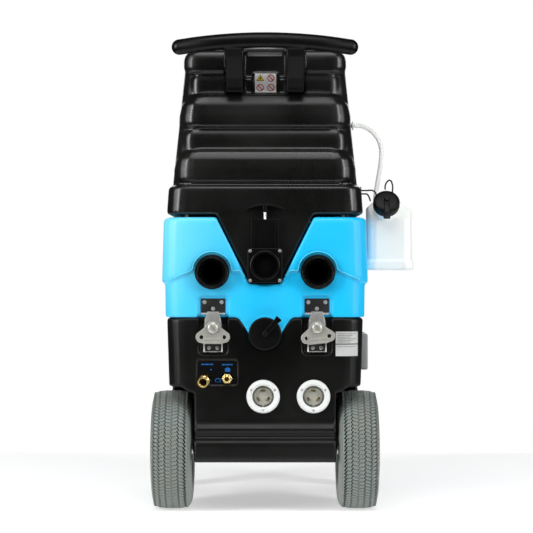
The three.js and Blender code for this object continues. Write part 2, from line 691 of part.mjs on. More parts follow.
function casterFork(side) {
  const x = side * caster.x;
  const axleY = caster.y - caster.trail;
  const legSide = [
    [caster.y - 24, 119.6], [caster.y + 22, 119.6], [caster.y + 20, 106], [axleY + 10, 46], [axleY, 40],
    [axleY - 10, 45], [axleY - 12, 56],
  ];
  const leg = (end) => prismX(legSide, x + end * 20.5 - 1.5, x + end * 20.5 + 1.5);
  return join(
    leg(-1),
    leg(1),
    box(x - 22, x + 22, caster.y - 24, caster.y + 22, 115.6, 119.6),
    rod("z", 6, 118, 131, [x, caster.y, 0], 12),
    rod("x", 4, x - 24, x + 24, [0, axleY, caster.radius], 12),
  );
}

function casterWheel(side) {
  const w = caster.width / 2;
  const profile = [
    [4.4, -w - 2], [11, -w - 2], [34, -w + 1], [47, -w], [caster.radius, -w + 5],
    [caster.radius, w - 5], [47, w], [34, w - 1], [11, w + 2], [4.4, w + 2], [4.4, -w - 2],
  ];
  return turned("x", profile, [side * caster.x, caster.y - caster.trail, caster.radius], 16);
}

// ---- inside the base ----
const vacMotor = (side) =>
  turned("z", [
    [0, 138.5], [62, 138.5], [72, 146], [72, 182], [52, 194], [52, 262], [22, 270], [20, 284], [0, 284],
  ], [side * 100, 350, 0], 16);

function pump() {
  const motor = rod("y", 42, 98, 172, [0, 0, 163], 20);
  return join(box(-44, 44, 30, 100, 118, 206), motor, box(-30, 30, 95, 172, 118, 128));
}

function lidGasket() {
  const seat = lidPlace.collarTop;
  return ring("z", 101, 111, seat + gap, seat + 3.9, [0, lidPlace.y, 0], 28);
}

// ---- jug, hanger and siphon ----
const neckTurn = new THREE.Matrix4().makeRotationX(radians(90 - jugPlace.neckTilt));
const neckFoot = [269, 12, 662];
const onNeck = (body, from = neckFoot) =>
  solid(body.applyMatrix4(neckTurn).translate(...from));
const latheZ = (profile, segments = 20) =>
  new THREE.LatheGeometry(profile.map(([r, h]) => new THREE.Vector2(r, h)), segments).rotateX(Math.PI / 2);

function jug() {
  const { x0, x1, y0, y1, z0, top } = jugPlace;
  const level = (z, grow, r = 18) => ({
    z,
    outline: plan((x1 - x0) / 2 + grow, y0 - grow, y1 + grow, r, r, 2)
      .map(([x, y]) => [x + (x0 + x1) / 2, y]),
  });
  const side = (inset) => [
    [y0 - 8 + inset, z0 + inset], [y1 + 8 - inset, z0 + inset], [y1 + 8 - inset, 655], [y1 - 20, top - inset],
    [y0 + 30, top - inset], [y0 + 2 + inset, 640], [y0 - 8 + inset, 630],
  ];
  const front = (inset) => [
    [x0 - 8, z0 - 1], [x1 + 8, z0 - 1], [x1 + 8, 650], [x1 - inset, 659], [x1 - 28, top - inset],
    [x0 + 14, top - inset], [x0 + inset, 666], [x0 - 8, 660],
  ];
  const bottle = loft([level(z0, -1), level(z0 + 4, 3), level(z0 + 20, 3), level(z0 + 24, 0), level(top, -1)])
    .intersect(prismX(side(0), 200, 360))
    .intersect(prismY(front(0), -20, 150));
  const inside = loft([level(z0 + 3, -3), level(z0 + 20, -1.5), level(z0 + 26, -3), level(top, -4)])
    .intersect(prismX(side(3), 200, 360))
    .intersect(prismY(front(3), -20, 150));
  const neck = onNeck(latheZ([[0, -16], [26, -16], [26, 6], [23.5, 8], [23.5, 30], [0, 30]]));
  const mouth = onNeck(latheZ([[0, -30], [20, -30], [20, 40], [0, 40]]));
  const arch = cut(
    prismX([[31, 676], [104, 676], [98, 694], [90, 701], [44, 701], [36, 694]], 257, 275),
    prismX([[43, 680], [93, 680], [90, 690.4], [46, 690.4]], 250, 280),
  );
  return cut(join(bottle, neck, arch), inside, mouth, rod("z", 8, 660, 700, [249, siphon.y, 0], 12));
}

function jugCap() {
  const cap = latheZ([
    [0, 34.5], [23, 34.5], [28, 32.5], [29, 30], [29, 10.5], [24, 10.5], [24, 31], [0, 31],
  ]);
  const strap = new THREE.BoxGeometry(12, 40, 3.4).translate(0, -16, 36);
  const tab = new THREE.BoxGeometry(15, 7, 22).translate(0, -34, 26);
  const nub = latheZ([[0, 34], [5, 34], [4.4, 40], [0, 40.5]], 12);
  return join(onNeck(cap), onNeck(strap), onNeck(tab), onNeck(nub));
}

function wireHanger() {
  const long = [
    [214, 706], [228, 706], [242, 706], [248, 702], [252, 692], [258, 688], [268, 688], [279, 688],
    [284, 692],
    [287, 706], [286, 722], [281, 729], [273, 723], [270.5, 716], [270.5, 708],
  ].map(([x, z]) => [x, wire.y, z]);
  const short = [
    [214, 699.5], [224, 699.5], [231, 699], [235, 694], [239, 683],
  ].map(([x, z]) => [x, wire.y + 28, z]);
  const plate = box(213.6, 216.4, wire.y - 10, wire.y + 38, 690, 714);
  return join(plate, bar(long, wire.radius, 5, 26), bar(short, wire.radius, 5, 7));
}

function siphonElbow() {
  return turned("x", [
    [0, 182], [4.8, 182], [4.8, 196.2], [8.5, 196.2], [8.5, 199], [3.6, 199], [4.6, 201], [3.8, 203],
    [0, 203],
  ], [0, siphon.y, siphon.elbowZ], 12);
}

// The siphon tube leaves the tower, loops out and drops through the jug's shoulder to its floor.
const siphonRoute = [
  [203.4, 853], [209, 853.2], [216, 852.6], [224, 850.4], [232, 846.6], [240, 841], [247.5, 833.5],
  [254, 824.5],
  [259, 814], [261.8, 803], [262.6, 791], [262, 778], [260.5, 764], [258.4, 750], [255.8, 735], [253.2, 720],
  [250.8, 705], [249.4, 692], [249, 678], [249, 655], [249, 625], [249, 590], [249, 550],
].map(([x, z]) => [x, siphon.y, z]);

// ---- assembly ----
const machine = new THREE.Group();
const add = (name, body, material) => machine.add(mesh(name, body, material));
const sides = [["left", -1], ["right", 1]];

add("base_housing", baseHousing(), blackPolyethylene);
add("side_vent_cover", ventCover(), greyNylon);
add("axle", axle(), zincSteel);
add("solution_tank", solutionTank(), bluePolyethylene);
add("recovery_tank", recoveryTank(), blackPolyethylene);
add("standpipe", standpipe(), whiteNylon);
add("shutoff_float", ring("z", stack.radius + 0.6, 42, 839.4, 889.4, [0, stack.y, 0], 20), whiteNylon);
add("lid", lid(), clearLid);
add("lid_gasket", lidGasket(), blackRubber);
add("handle", handle(), blackNylon);
add("dump_valve_body", dumpValveBody(), blackNylon);
add("dump_gate", dumpGate(), blackNylon);
add("dump_pull", dumpPull(), blackNylon);
add("fill_cap", fillCap(), blackNylon);
add("fitting_panel", fittingPanel(), blackNylon);
add("solution_outlet", solutionOutlet(), brass);
add("auto_fill_nipple", autoFillNipple(), brass);
add("inlet_flange_left", inletFlange(inletPlace.left), whiteNylon);
add("inlet_flange_right", inletFlange(inletPlace.right), whiteNylon);
add("inlet_core_left", inletCore(inletPlace.left), greyNylon);
add("inlet_core_right", inletCore(inletPlace.right), greyNylon);
add("switch_panel", switchPanel(), blackNylon);
for (const [name, x] of Object.entries(switchPlaces)) add(`switch_${name}`, switchRocker(x), redNylon);
add("gauge", gaugeBody(), zincSteel);
add("gauge_needle", gaugeNeedle(), redNylon);
add("regulator_knob", regulatorKnob(), blackNylon);
add("pump", pump(), motorShell);
add("jug", jug(), naturalHdpe);
add("jug_cap", jugCap(), blackNylon);
add("wire_hanger", wireHanger(), blackSteel);
add("siphon_elbow", siphonElbow(), whiteNylon);
add("siphon_tube", bar(siphonRoute, siphon.radius, 6, 28), clearVinyl);
for (const [hand, side] of sides) {
  add(`hose_port_${hand}`, hosePort(side), blackRubber);
  add(`latch_keeper_${hand}`, latchKeeper(side), zincSteel);
  add(`latch_base_${hand}`, latchBase(side), zincSteel);
  add(`latch_carrier_${hand}`, latchCarrier(side), zincSteel);
  add(`latch_hook_${hand}`, latchHook(side), zincSteel);
  add(`latch_wing_${hand}`, latchWing(side), zincSteel);
  add(`tyre_${hand}`, tyreBody(side), greyRubber);
  add(`rim_${hand}`, rim(side), blackSteel);
  add(`caster_plate_${hand}`, casterPlate(side), zincSteel);
  add(`caster_fork_${hand}`, casterFork(side), zincSteel);
  add(`caster_wheel_${hand}`, casterWheel(side), greyRubber);
  add(`vac_motor_${hand}`, vacMotor(side), motorShell);
}

// The origin is the middle of the footprint on the floor.
const bounds = new THREE.Box3().setFromObject(machine);
machine.position.set(-(bounds.min.x + bounds.max.x) / 2, -(bounds.min.y + bounds.max.y) / 2, -bounds.min.z);

export default machine;
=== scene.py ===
# Looks for a walk-behind carpet cleaner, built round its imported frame.
import math

import bpy
from mathutils import Matrix, Vector


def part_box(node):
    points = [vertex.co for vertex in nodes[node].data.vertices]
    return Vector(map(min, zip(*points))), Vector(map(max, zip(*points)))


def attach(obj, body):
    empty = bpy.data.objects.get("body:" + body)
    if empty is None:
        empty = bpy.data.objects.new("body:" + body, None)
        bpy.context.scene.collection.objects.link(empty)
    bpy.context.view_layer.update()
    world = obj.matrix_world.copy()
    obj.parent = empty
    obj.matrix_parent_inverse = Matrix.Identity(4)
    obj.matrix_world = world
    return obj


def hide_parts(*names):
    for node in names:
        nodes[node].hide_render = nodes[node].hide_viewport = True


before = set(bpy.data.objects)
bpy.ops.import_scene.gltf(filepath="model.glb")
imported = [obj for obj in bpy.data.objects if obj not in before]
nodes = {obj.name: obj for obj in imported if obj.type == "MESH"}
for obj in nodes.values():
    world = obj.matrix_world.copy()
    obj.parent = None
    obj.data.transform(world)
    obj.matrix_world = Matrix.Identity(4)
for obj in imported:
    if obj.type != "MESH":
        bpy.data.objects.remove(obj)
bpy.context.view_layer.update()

# Places below are in millimetres from the floor under the middle of the rear axle.
axleLow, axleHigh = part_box("axle")
axleMiddle = Vector(((axleLow.x + axleHigh.x) / 2, (axleLow.y + axleHigh.y) / 2, 0))


def at(x, y, z):
    return Vector((x, y, z)) / 1000 + axleMiddle


# modelling helpers
def dropSelection():
    bpy.ops.object.select_all(action="DESELECT")


def take(piece):
    dropSelection()
    piece.select_set(True)
    bpy.context.view_layer.objects.active = piece
    return piece


def openMesh(piece=None):
    if piece:
        take(piece)
    bpy.ops.object.mode_set(mode="EDIT")


def closeMesh():
    bpy.ops.object.mode_set(mode="OBJECT")


def bakePlace(piece):
    take(piece)
    bpy.ops.object.transform_apply(location=True, rotation=True, scale=True)
    return piece


def useModifier(piece, kind, **settings):
    take(piece)
    modifier = piece.modifiers.new(kind.title(), kind)
    for key, value in settings.items():
        setattr(modifier, key, value)
    bpy.ops.object.modifier_apply(modifier=modifier.name)
    return piece


def roundEdges(piece, width, segments=3, angle=35):
    # width in mm; only edges sharper than the angle are rounded
    return useModifier(
        piece, "BEVEL", width=width / 1000, segments=segments, limit_method="ANGLE",
        angle_limit=math.radians(angle), use_clamp_overlap=True,
    )


def smoothShade(piece, angle=35):
    take(piece)
    bpy.ops.object.shade_smooth_by_angle(angle=math.radians(angle))
    return piece


def traceProfile(name, points):
    # a line of edges through points, by extruding one vertex
    dropSelection()
    bpy.ops.mesh.primitive_plane_add(size=0.002, location=points[0])
    piece = bpy.context.object
    piece.name = name
    openMesh()
    bpy.ops.mesh.merge(type="CENTER")
    for start, end in zip(points, points[1:]):
        bpy.ops.mesh.extrude_vertices_move(TRANSFORM_OT_translate={"value": end - start})
    return piece


def finishMesh():
    bpy.ops.mesh.select_all(action="SELECT")
    bpy.ops.mesh.remove_doubles(threshold=0.00002)
    bpy.ops.mesh.normals_make_consistent(inside=False)
    closeMesh()


axes = {"x": Vector((1, 0, 0)), "y": Vector((0, 1, 0)), "z": Vector((0, 0, 1))}


def turned(name, centre, axis, profile, steps=64):
    # profile: (radius, distance along the axis from the centre) in mm
    along = axes[axis]
    out = axes["z"] if axis == "y" else axes["y"] if axis == "x" else axes["x"]
    middle = at(*centre)
    points = [middle + (out * r + along * h) / 1000 for r, h in profile]
    piece = traceProfile(name, points)
    bpy.ops.mesh.select_all(action="SELECT")
    bpy.ops.mesh.spin(steps=steps, angle=math.tau, center=middle, axis=along)
    finishMesh()
    return bakePlace(piece)


def slab(name, outline, front, back, side="y"):
    # an outline in mm in the plane square to y (or x), pushed from front to back
    if side == "y":
        points = [at(u, front, v) for u, v in outline]
        push = Vector((0, (back - front) / 1000, 0))
    else:
        points = [at(front, u, v) for u, v in outline]
        push = Vector(((back - front) / 1000, 0, 0))
    piece = traceProfile(name, points)
    bpy.ops.mesh.select_all(action="SELECT")
    bpy.ops.mesh.edge_face_add()
    bpy.ops.mesh.extrude_region_move(TRANSFORM_OT_translate={"value": push})
    finishMesh()
    return bakePlace(piece)


def block(name, low, high):
    low, high = at(*low), at(*high)
    dropSelection()
    bpy.ops.mesh.primitive_cube_add(size=1, location=(low + high) / 2)
    piece = bpy.context.object
    piece.name = name
    piece.scale = high - low
    return bakePlace(piece)


def tubeAlong(name, points, radius, sides=8, resolution=8):
    # a round rod along a smooth line through points in mm
    data = bpy.data.curves.new(name, "CURVE")
    data.dimensions = "3D"
    data.bevel_depth = radius / 1000
    data.bevel_resolution = sides // 2
    data.resolution_u = resolution
    data.use_fill_caps = True
    spline = data.splines.new("BEZIER")
    spline.bezier_points.add(len(points) - 1)
    for knot, point in zip(spline.bezier_points, points):
        knot.co = at(*point)
        knot.handle_left_type = knot.handle_right_type = "AUTO"
    piece = bpy.data.objects.new(name, data)
    bpy.context.scene.collection.objects.link(piece)
    return piece


def asMesh(piece):
    take(piece)
    bpy.ops.object.convert(target="MESH")
    return bpy.context.object


def copyOf(piece, name):
    twin = piece.copy()
    twin.data = piece.data.copy()
    twin.name = name
    bpy.context.scene.collection.objects.link(twin)
    return twin


def weld(name, *pieces):
    # several shapes become one piece
    dropSelection()
    for piece in pieces:
        piece.select_set(True)
    bpy.context.view_layer.objects.active = pieces[0]
    bpy.ops.object.join()
    pieces[0].name = name
    return pieces[0]


def carve(piece, *tools):
    for tool in tools:
        useModifier(piece, "BOOLEAN", operation="DIFFERENCE", solver="EXACT", object=tool)
        bpy.data.objects.remove(tool)
    return piece


def fit(piece, finish, body, slot, *stands):
    piece.data.materials.clear()
    piece.data.materials.append(finish)
    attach(piece, body)
    if stands:
        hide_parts(*stands)
    return piece


# materials
class Flow:
    # a shader value; arithmetic on it adds Math nodes
    def __init__(self, finish, socket):
        self.finish = finish
        self.socket = socket

    def math(self, operation, *values):
        return self.finish.node("ShaderNodeMath", {"operation": operation}, *values)

    def __add__(self, other):
        return self.math("ADD", self, other)

    def __sub__(self, other):
        return self.math("SUBTRACT", self, other)

    def __rsub__(self, other):
        return self.math("SUBTRACT", other, self)

    def __mul__(self, other):
        return self.math("MULTIPLY", self, other)

    def __pow__(self, other):
        return self.math("POWER", self, other)

    def __abs__(self):
        return self.math("ABSOLUTE", self)

    __radd__ = __add__
    __rmul__ = __mul__


class Finish:
    def __init__(self, name, colour, roughness, metallic=0, **fixed):
        self.material = bpy.data.materials.new(name)
        self.material.use_nodes = True
        self.tree = self.material.node_tree
        self.shader = self.tree.nodes["Principled BSDF"]
        for key, value in {
            "Base Color": (*colour, 1), "Roughness": roughness, "Metallic": metallic, **fixed
        }.items():
            self.shader.inputs[key].default_value = value
        self.colour = colour
        self.places = self.node("ShaderNodeTexCoord", {}, out="Object")

    def node(self, kind, settings, *values, out=0, **named):
        made = self.tree.nodes.new(kind)
        for key, value in settings.items():
            if key == "stops":
                self.setStops(made.color_ramp, value)
            else:
                setattr(made, key, value)
        for key, value in [*enumerate(values), *named.items()]:
            socket = made.inputs[key.replace("_", " ") if isinstance(key, str) else key]
            if isinstance(value, Flow):
                self.tree.links.new(value.socket, socket)
            else:
                socket.default_value = value
        return Flow(self, made.outputs[out])

    def setStops(self, ramp, stops):
        while len(ramp.elements) < len(stops):
            ramp.elements.new(1)
        for element, (place, shade) in zip(ramp.elements, stops):
            element.position = place
            element.color = (shade, shade, shade, 1) if isinstance(shade, (int, float)) else (*shade, 1)

    def feed(self, socket, flow):
        self.tree.links.new(flow.socket, self.shader.inputs[socket])

    def grain(self, scale, detail=3, rough=0.5, stretch=(1, 1, 1)):
        places = self.node("ShaderNodeMapping", {}, Vector=self.places, Scale=stretch)
        return self.node("ShaderNodeTexNoise", {}, Vector=places, Scale=scale, Detail=detail, Roughness=rough)

    def ramp(self, flow, low, high, fromValue=0.0, toValue=1.0):
        return self.node(
            "ShaderNodeMapRange", {}, Value=flow, From_Min=low, From_Max=high, To_Min=fromValue,
            To_Max=toValue
        )

    def blend(self, factor, first, second):
        # colours through a Mix node
        made = self.tree.nodes.new("ShaderNodeMix")
        made.data_type = "RGBA"
        for index, value in ((0, factor), (6, first), (7, second)):
            if isinstance(value, Flow):
                self.tree.links.new(value.socket, made.inputs[index])
            else:
                made.inputs[index].default_value = value if index == 0 else (*value, 1)
        return Flow(self, made.outputs[2])

    def bump(self, height, strength, distance):
        self.feed(
            "Normal", self.node("ShaderNodeBump", {}, Strength=strength, Distance=distance, Height=height)
        )
        return self


def moulded(name, colour, light, roughness, shine=0.5, grainDepth=0.0003):
    # rotomoulded polyethylene: slow gloss patches over a fine orange peel
    finish = Finish(name, colour, roughness, **{"Specular IOR Level": shine})
    patches = finish.ramp(finish.grain(7, 4), 0.35, 0.68)
    peel = finish.grain(520, 2, 0.6)
    flecks = finish.ramp(finish.grain(170, 2, 0.7), 0.62, 0.74)
    finish.feed("Base Color", finish.blend(patches * 0.6 + flecks * 0.25, colour, light))
    finish.feed("Roughness", patches * 0.12 + peel * 0.1 + flecks * 0.08 + (roughness - 0.08))
    finish.bump(peel + finish.grain(60, 2) * 0.5, 0.35, grainDepth)
    return finish.material


def blueWithPaintedSheen(name):
    # the same moulding in blue, paler toward one side (-x) and the top: a painted highlight standing in for
    # the lamps' sheen
    deep, pale = (0.002, 0.56, 1.0), (0.2, 0.78, 1.0)
    finish = Finish(name, deep, 0.42)
    across = finish.node("ShaderNodeSeparateXYZ", {}, finish.places, out=0)
    up = finish.node("ShaderNodeSeparateXYZ", {}, finish.places, out=2)
    side = finish.ramp(across, axleMiddle.x - 0.02, axleMiddle.x - 0.21)
    high = finish.ramp(up, 0.44, 0.62, 0.35, 1)
    patches = finish.ramp(finish.grain(5, 3), 0.35, 0.68)
    peel = finish.grain(520, 2, 0.6)
    # paler blue blended in toward -x and the top: painted highlight
    finish.feed("Base Color", finish.blend(side * high * 0.85 + patches * 0.1, deep, pale))
    finish.feed("Roughness", patches * 0.1 + peel * 0.08 + 0.36)
    return finish.bump(peel, 0.3, 0.0002).material


def smoothPlastic(name, colour, roughness, depth=0.00008, **fixed):
    finish = Finish(name, colour, roughness, **fixed)
    grit = finish.grain(1400, 2)
    finish.feed("Roughness", finish.ramp(finish.grain(24, 3), 0.3, 0.7, roughness - 0.05, roughness + 0.08))
    return finish.bump(grit, 0.3, depth).material


def platedSteel(name, colour, roughness, stretch=(1, 1, 30), metallic=1):
    # zinc plate with faint drawing lines and dull blotches
    finish = Finish(name, colour, roughness, metallic)
    lines = finish.grain(160, 3, 0.6, stretch)
    blotch = finish.ramp(finish.grain(55, 3), 0.35, 0.7)
    darker = tuple(c * 0.8 for c in colour)
    finish.feed("Base Color", finish.blend(blotch, colour, darker))
    finish.feed("Roughness", lines * 0.16 + blotch * 0.12 + (roughness - 0.08))
    return finish.bump(lines, 0.12, 0.00006).material


def turnedBrass(name):
    colour = (0.84, 0.64, 0.26)
    finish = Finish(name, colour, 0.24, metallic=1)
    blotch = finish.ramp(finish.grain(90, 3), 0.4, 0.7)
    finish.feed("Base Color", finish.blend(blotch, colour, (0.6, 0.42, 0.15)))
    finish.feed("Roughness", blotch * 0.14 + 0.18)
    return finish.bump(finish.grain(900, 2, 0.5, (1, 12, 1)), 0.1, 0.00004).material


def tyreFoam(name, treaded=True):
    # grey foam rubber; on a treaded wheel painted shade darkens what lies below the crown, in the grooves
    colour, brown, paintedGrooveShade = (0.175, 0.212, 0.198), (0.2, 0.212, 0.192), (0.024, 0.03, 0.028)
    finish = Finish(name, colour, 0.62)
    cloud = finish.ramp(finish.grain(18, 4), 0.3, 0.7)
    pores = finish.grain(700, 3, 0.7)
    shade = finish.blend(cloud, colour, brown)
    if treaded:
        across, back, up = (finish.node("ShaderNodeSeparateXYZ", {}, finish.places, out=i) for i in range(3))
        side = abs(across - axleMiddle.x) - 0.204
        reach = abs(side) * (1 / 0.034)
        crown = 0.13 - (reach ** 3.2) * 0.0034
        y, z = back - axleMiddle.y, up - 0.13
        radius = (y * y + z * z) ** 0.5
        sunk = finish.ramp(crown - radius, 0.0005, 0.0015)
        onTread = finish.ramp(reach, 1.12, 1.04)
        # painted shade in the tread grooves
        shade = finish.blend(sunk * onTread * 0.92, shade, paintedGrooveShade)
    finish.feed("Base Color", shade)
    finish.feed("Roughness", cloud * 0.1 + pores * 0.12 + 0.38)
    return finish.bump(pores, 0.35, 0.0002).material


blackTank = moulded("rotomouldedBlack", (0.0026, 0.0026, 0.0023), (0.006, 0.006, 0.0055), 0.28, 0.55)
blackBase = moulded("rotomouldedBlackBase", (0.002, 0.002, 0.0018), (0.0045, 0.0045, 0.004), 0.34, 0.3)
blueTank = blueWithPaintedSheen("rotomouldedBlue")
blackNylon = smoothPlastic("blackNylon", (0.002, 0.002, 0.0019), 0.36, 0.0001, **{"Specular IOR Level": 0.22})
blackGloss = smoothPlastic("blackGlossPanel", (0.004, 0.004, 0.005), 0.16, 0.00003)
blackRubber = smoothPlastic(
    "blackRubber", (0.002, 0.002, 0.002), 0.27, 0.0001, **{"Specular IOR Level": 0.42}
)
# near-black with almost no specular: painted shade for the socket wall and the valve gate
paintedShadeBlack = smoothPlastic(
    "paintedShadeBlack", (0.0008, 0.0008, 0.0008), 0.7, 0.0001, **{"Specular IOR Level": 0.06}
)
# a paler blue for the shoulder bead: painted highlight
paintedHighlightBlue = smoothPlastic("paintedHighlightBlue", (0.12, 0.76, 1.0), 0.3)
whiteNylon = smoothPlastic("whiteNylon", (0.78, 0.8, 0.79), 0.38)
greyNylon = smoothPlastic("greyNylon", (0.36, 0.355, 0.31), 0.35)
ventGrey = smoothPlastic("ventGrey", (0.3, 0.31, 0.31), 0.45, 0.0002)
redNylon = smoothPlastic("redRocker", (0.42, 0.012, 0.012), 0.28)
zincSteel = platedSteel("zincSteel", (0.78, 0.78, 0.75), 0.27, metallic=0.75)
wingSteel = platedSteel("wingSteel", (0.6, 0.6, 0.54), 0.33, metallic=0.55)
keeperSteel = platedSteel("keeperSteel", (0.09, 0.09, 0.09), 0.38, (1, 1, 8))
blackSteel = smoothPlastic("powderedBlack", (0.01, 0.01, 0.011), 0.42, 0.00025)
brass = turnedBrass("turnedBrass")
tyreGrey = tyreFoam("tyreGrey")
casterGrey = tyreFoam("casterGrey", False)
# the jug's plastic glows faintly through its emission: painted light
glowingNaturalPlastic = smoothPlastic(
    "glowingNaturalPlastic", (0.88, 0.9, 0.88), 0.42, 0.00015,
    **{
        "Subsurface Weight": 0.2, "Subsurface Scale": 0.01, "Emission Color": (1, 1, 0.98, 1),
        "Emission Strength": 0.13,
    },
)
# the siphon tube glows faintly through its emission: painted light
glowingClearVinyl = smoothPlastic(
    "glowingClearVinyl", (0.86, 0.88, 0.86), 0.34, 0.00005,
    **{
        "Transmission Weight": 0.3, "IOR": 1.35, "Emission Color": (1, 1, 0.98, 1),
        "Emission Strength": 0.15,
    },
)
clearDome = smoothPlastic(
    "clearDome", (0.95, 0.97, 0.97), 0.06, 0.00001, **{"Transmission Weight": 0.95, "IOR": 1.3}
)
print("finishes made")

# camera, lights, floor
view = {"aside": 3.3, "distance": 4000, "height": 535, "lens": 121.7}
camera = bpy.data.objects.new("camera", bpy.data.cameras.new("camera"))
bpy.context.scene.collection.objects.link(camera)
camera.location = at(view["aside"], -view["distance"], view["height"])
camera.rotation_euler = (math.radians(90), 0, 0)
camera.data.lens = view["lens"]
camera.data.sensor_width = 36
camera.data.clip_end = 100
bpy.context.scene.camera = camera
bpy.context.scene.view_settings.view_transform = "Standard"


def softbox(name, place, aim, width, height, power):
    lamp = bpy.data.objects.new(name, bpy.data.lights.new(name, "AREA"))
    lamp.data.shape = "RECTANGLE"
    lamp.data.size = width
    lamp.data.size_y = height
    lamp.data.energy = power
    bpy.context.scene.collection.objects.link(lamp)
    lamp.location = at(*place)
    lamp.rotation_euler = (at(*aim) - lamp.location).to_track_quat("-Z", "Y").to_euler()


softbox("leftSoftbox", (-2400, -1500, 1300), (0, 0, 500), 0.9, 1.9, 66)
softbox("rightSoftbox", (2400, -1500, 1300), (0, 0, 500), 0.9, 1.9, 52)
softbox("topSoftbox", (0, -1300, 2800), (0, 0, 500), 2.4, 0.9, 30)
softbox("fillSoftbox", (0, -2600, 2900), (0, 0, 450), 2.4, 0.8, 10)
softbox("backSoftbox", (0, 3200, 1800), (0, 200, 500), 2.6, 1.6, 30)

sky = bpy.data.worlds.new("studio")
bpy.context.scene.world = sky
sky.use_nodes = True
skyNodes, skyLinks = sky.node_tree.nodes, sky.node_tree.links
skyNodes.clear()
seen = skyNodes.new("ShaderNodeBackground")
seen.inputs["Color"].default_value = (1, 1, 1, 1)
seen.inputs["Strength"].default_value = 1.0
lit = skyNodes.new("ShaderNodeBackground")
lit.inputs["Color"].default_value = (1, 1, 1, 1)
lit.inputs["Strength"].default_value = 0.045
rays = skyNodes.new("ShaderNodeLightPath")
either = skyNodes.new("ShaderNodeMixShader")
skyOut = skyNodes.new("ShaderNodeOutputWorld")
skyLinks.new(rays.outputs["Is Camera Ray"], either.inputs[0])
skyLinks.new(lit.outputs[0], either.inputs[1])
skyLinks.new(seen.outputs[0], either.inputs[2])
skyLinks.new(either.outputs[0], skyOut.inputs[0])

dropSelection()
bpy.ops.mesh.primitive_plane_add(size=1.9, location=at(0, 210, 0))
floor = bpy.context.object
floor.name = "floor"
floorFinish = Finish("paleFloor", (0.8, 0.8, 0.8), 0.8, **{"Specular IOR Level": 0, "Emission Strength": 0.5})
floorFinish.feed("Emission Color", floorFinish.blend(floorFinish.grain(3, 2), (1, 1, 1), (0.98, 0.98, 0.98)))
floor.data.materials.append(floorFinish.material)
print("camera and lights set")

# siphon tube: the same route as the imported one
siphon = {
    "diameter": 10, "depth": 70,
    "route": [
        (203.4, 853), (209, 853.2), (216, 852.6), (224, 850.4), (232, 846.6), (240, 841), (247.5, 833.5),
        (254, 824.5), (259, 814), (261.8, 803), (262.6, 791), (262, 778), (260.5, 764), (258.4, 750),
        (255.8, 735), (253.2, 720), (250.8, 705), (249.4, 692), (249, 678), (249, 655), (249, 625),
        (249, 590), (249, 550),
    ],
}
siphonPoints = [(x, siphon["depth"], z) for x, z in siphon["route"]]
siphonTube = tubeAlong("siphonTube", siphonPoints, siphon["diameter"] / 2, 12, 6)
fit(siphonTube, glowingClearVinyl, "machine", "clear_vinyl", "siphon_tube")


# the three moulded tanks
moulding = {"voxel": 3.2, "quickVoxel": 5, "passes": 6, "keep": 0.37}


def softMoulding(name, node, voxel, keep, passes=moulding["passes"]):
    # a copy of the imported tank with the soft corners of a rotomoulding
    tank = copyOf(nodes[node], name)
    tank.parent = None
    openMesh(tank)
    bpy.ops.mesh.select_all(action="SELECT")
    bpy.ops.mesh.remove_doubles(threshold=0.00001)
    closeMesh()
    useModifier(tank, "REMESH", mode="VOXEL", voxel_size=voxel / 1000)
    useModifier(tank, "SMOOTH", factor=0.5, iterations=passes)
    useModifier(tank, "DECIMATE", ratio=keep)
    bpy.ops.object.shade_smooth()
    tank.data.calc_loop_triangles()
    print(name, len(tank.data.loop_triangles), "triangles")
    return tank


voxel = moulding["voxel"]
for name, node, finish, slot in (
    ("recoveryTank", "recovery_tank", blackTank, "black_polyethylene"),
    ("solutionTank", "solution_tank", blueTank, "blue_polyethylene"),
    ("baseHousing", "base_housing", blackBase, "black_polyethylene"),
):
    fit(softMoulding(name, node, voxel, moulding["keep"]), finish, "machine", slot, node)
print("tanks moulded")

# rear wheels
tyre = {
    "middle": 204, "axle": 130, "teeth": 92, "rows": 5, "grooves": (-36.5, -25.5, -12, 2, 16, 30),
    "grooveWidths": (3, 3, 3.2, 2.2, 3.2, 4.6), "grooveDepths": (2.6, 2.6, 2.8, 1.8, 2.8, 3.6), "zigzag": 2.2,
    "sipe": 1.5, "shoulder": [(34, 126.6), (36.6, 124.8), (39.2, 121.4)],
    "wall": [
        (41.4, 117), (43, 112.4), (44.2, 105), (45, 95), (44.2, 82), (41.2, 71), (39.6, 68.5), (38.4, 67),
        (36, 60), (32.5, 54.5), (29, 52.2), (26, 51.4), (9, 51.4),
    ],
}


def crownRadius(u):
    return 130 - 3.4 * (abs(u) / 34) ** 3.2


def tyreSection():
    # (across, radius, what it is, depth below the crown)
    columns = []
    grooves = tyre["grooves"]
    for index, (centre, width, depth) in enumerate(zip(grooves, tyre["grooveWidths"], tyre["grooveDepths"])):
        for share, sunk in ((-0.5, 0), (-0.3, depth), (0.3, depth), (0.5, 0)):
            columns.append((centre + share * width, crownRadius(centre), "groove", sunk))
        if index + 1 < len(grooves):
            room = grooves[index + 1] - centre
            for share in (0.36, 0.5, 0.64):
                columns.append((centre + room * share, crownRadius(centre + room * share), "block", 0))
    shoulder = [(u, r, "side", 0) for u, r in tyre["shoulder"]]
    wall = [(u, r, "side", 0) for u, r in tyre["wall"]]
    return columns + shoulder + wall + [(-u, r, "side", 0) for u, r in reversed(tyre["wall"])]


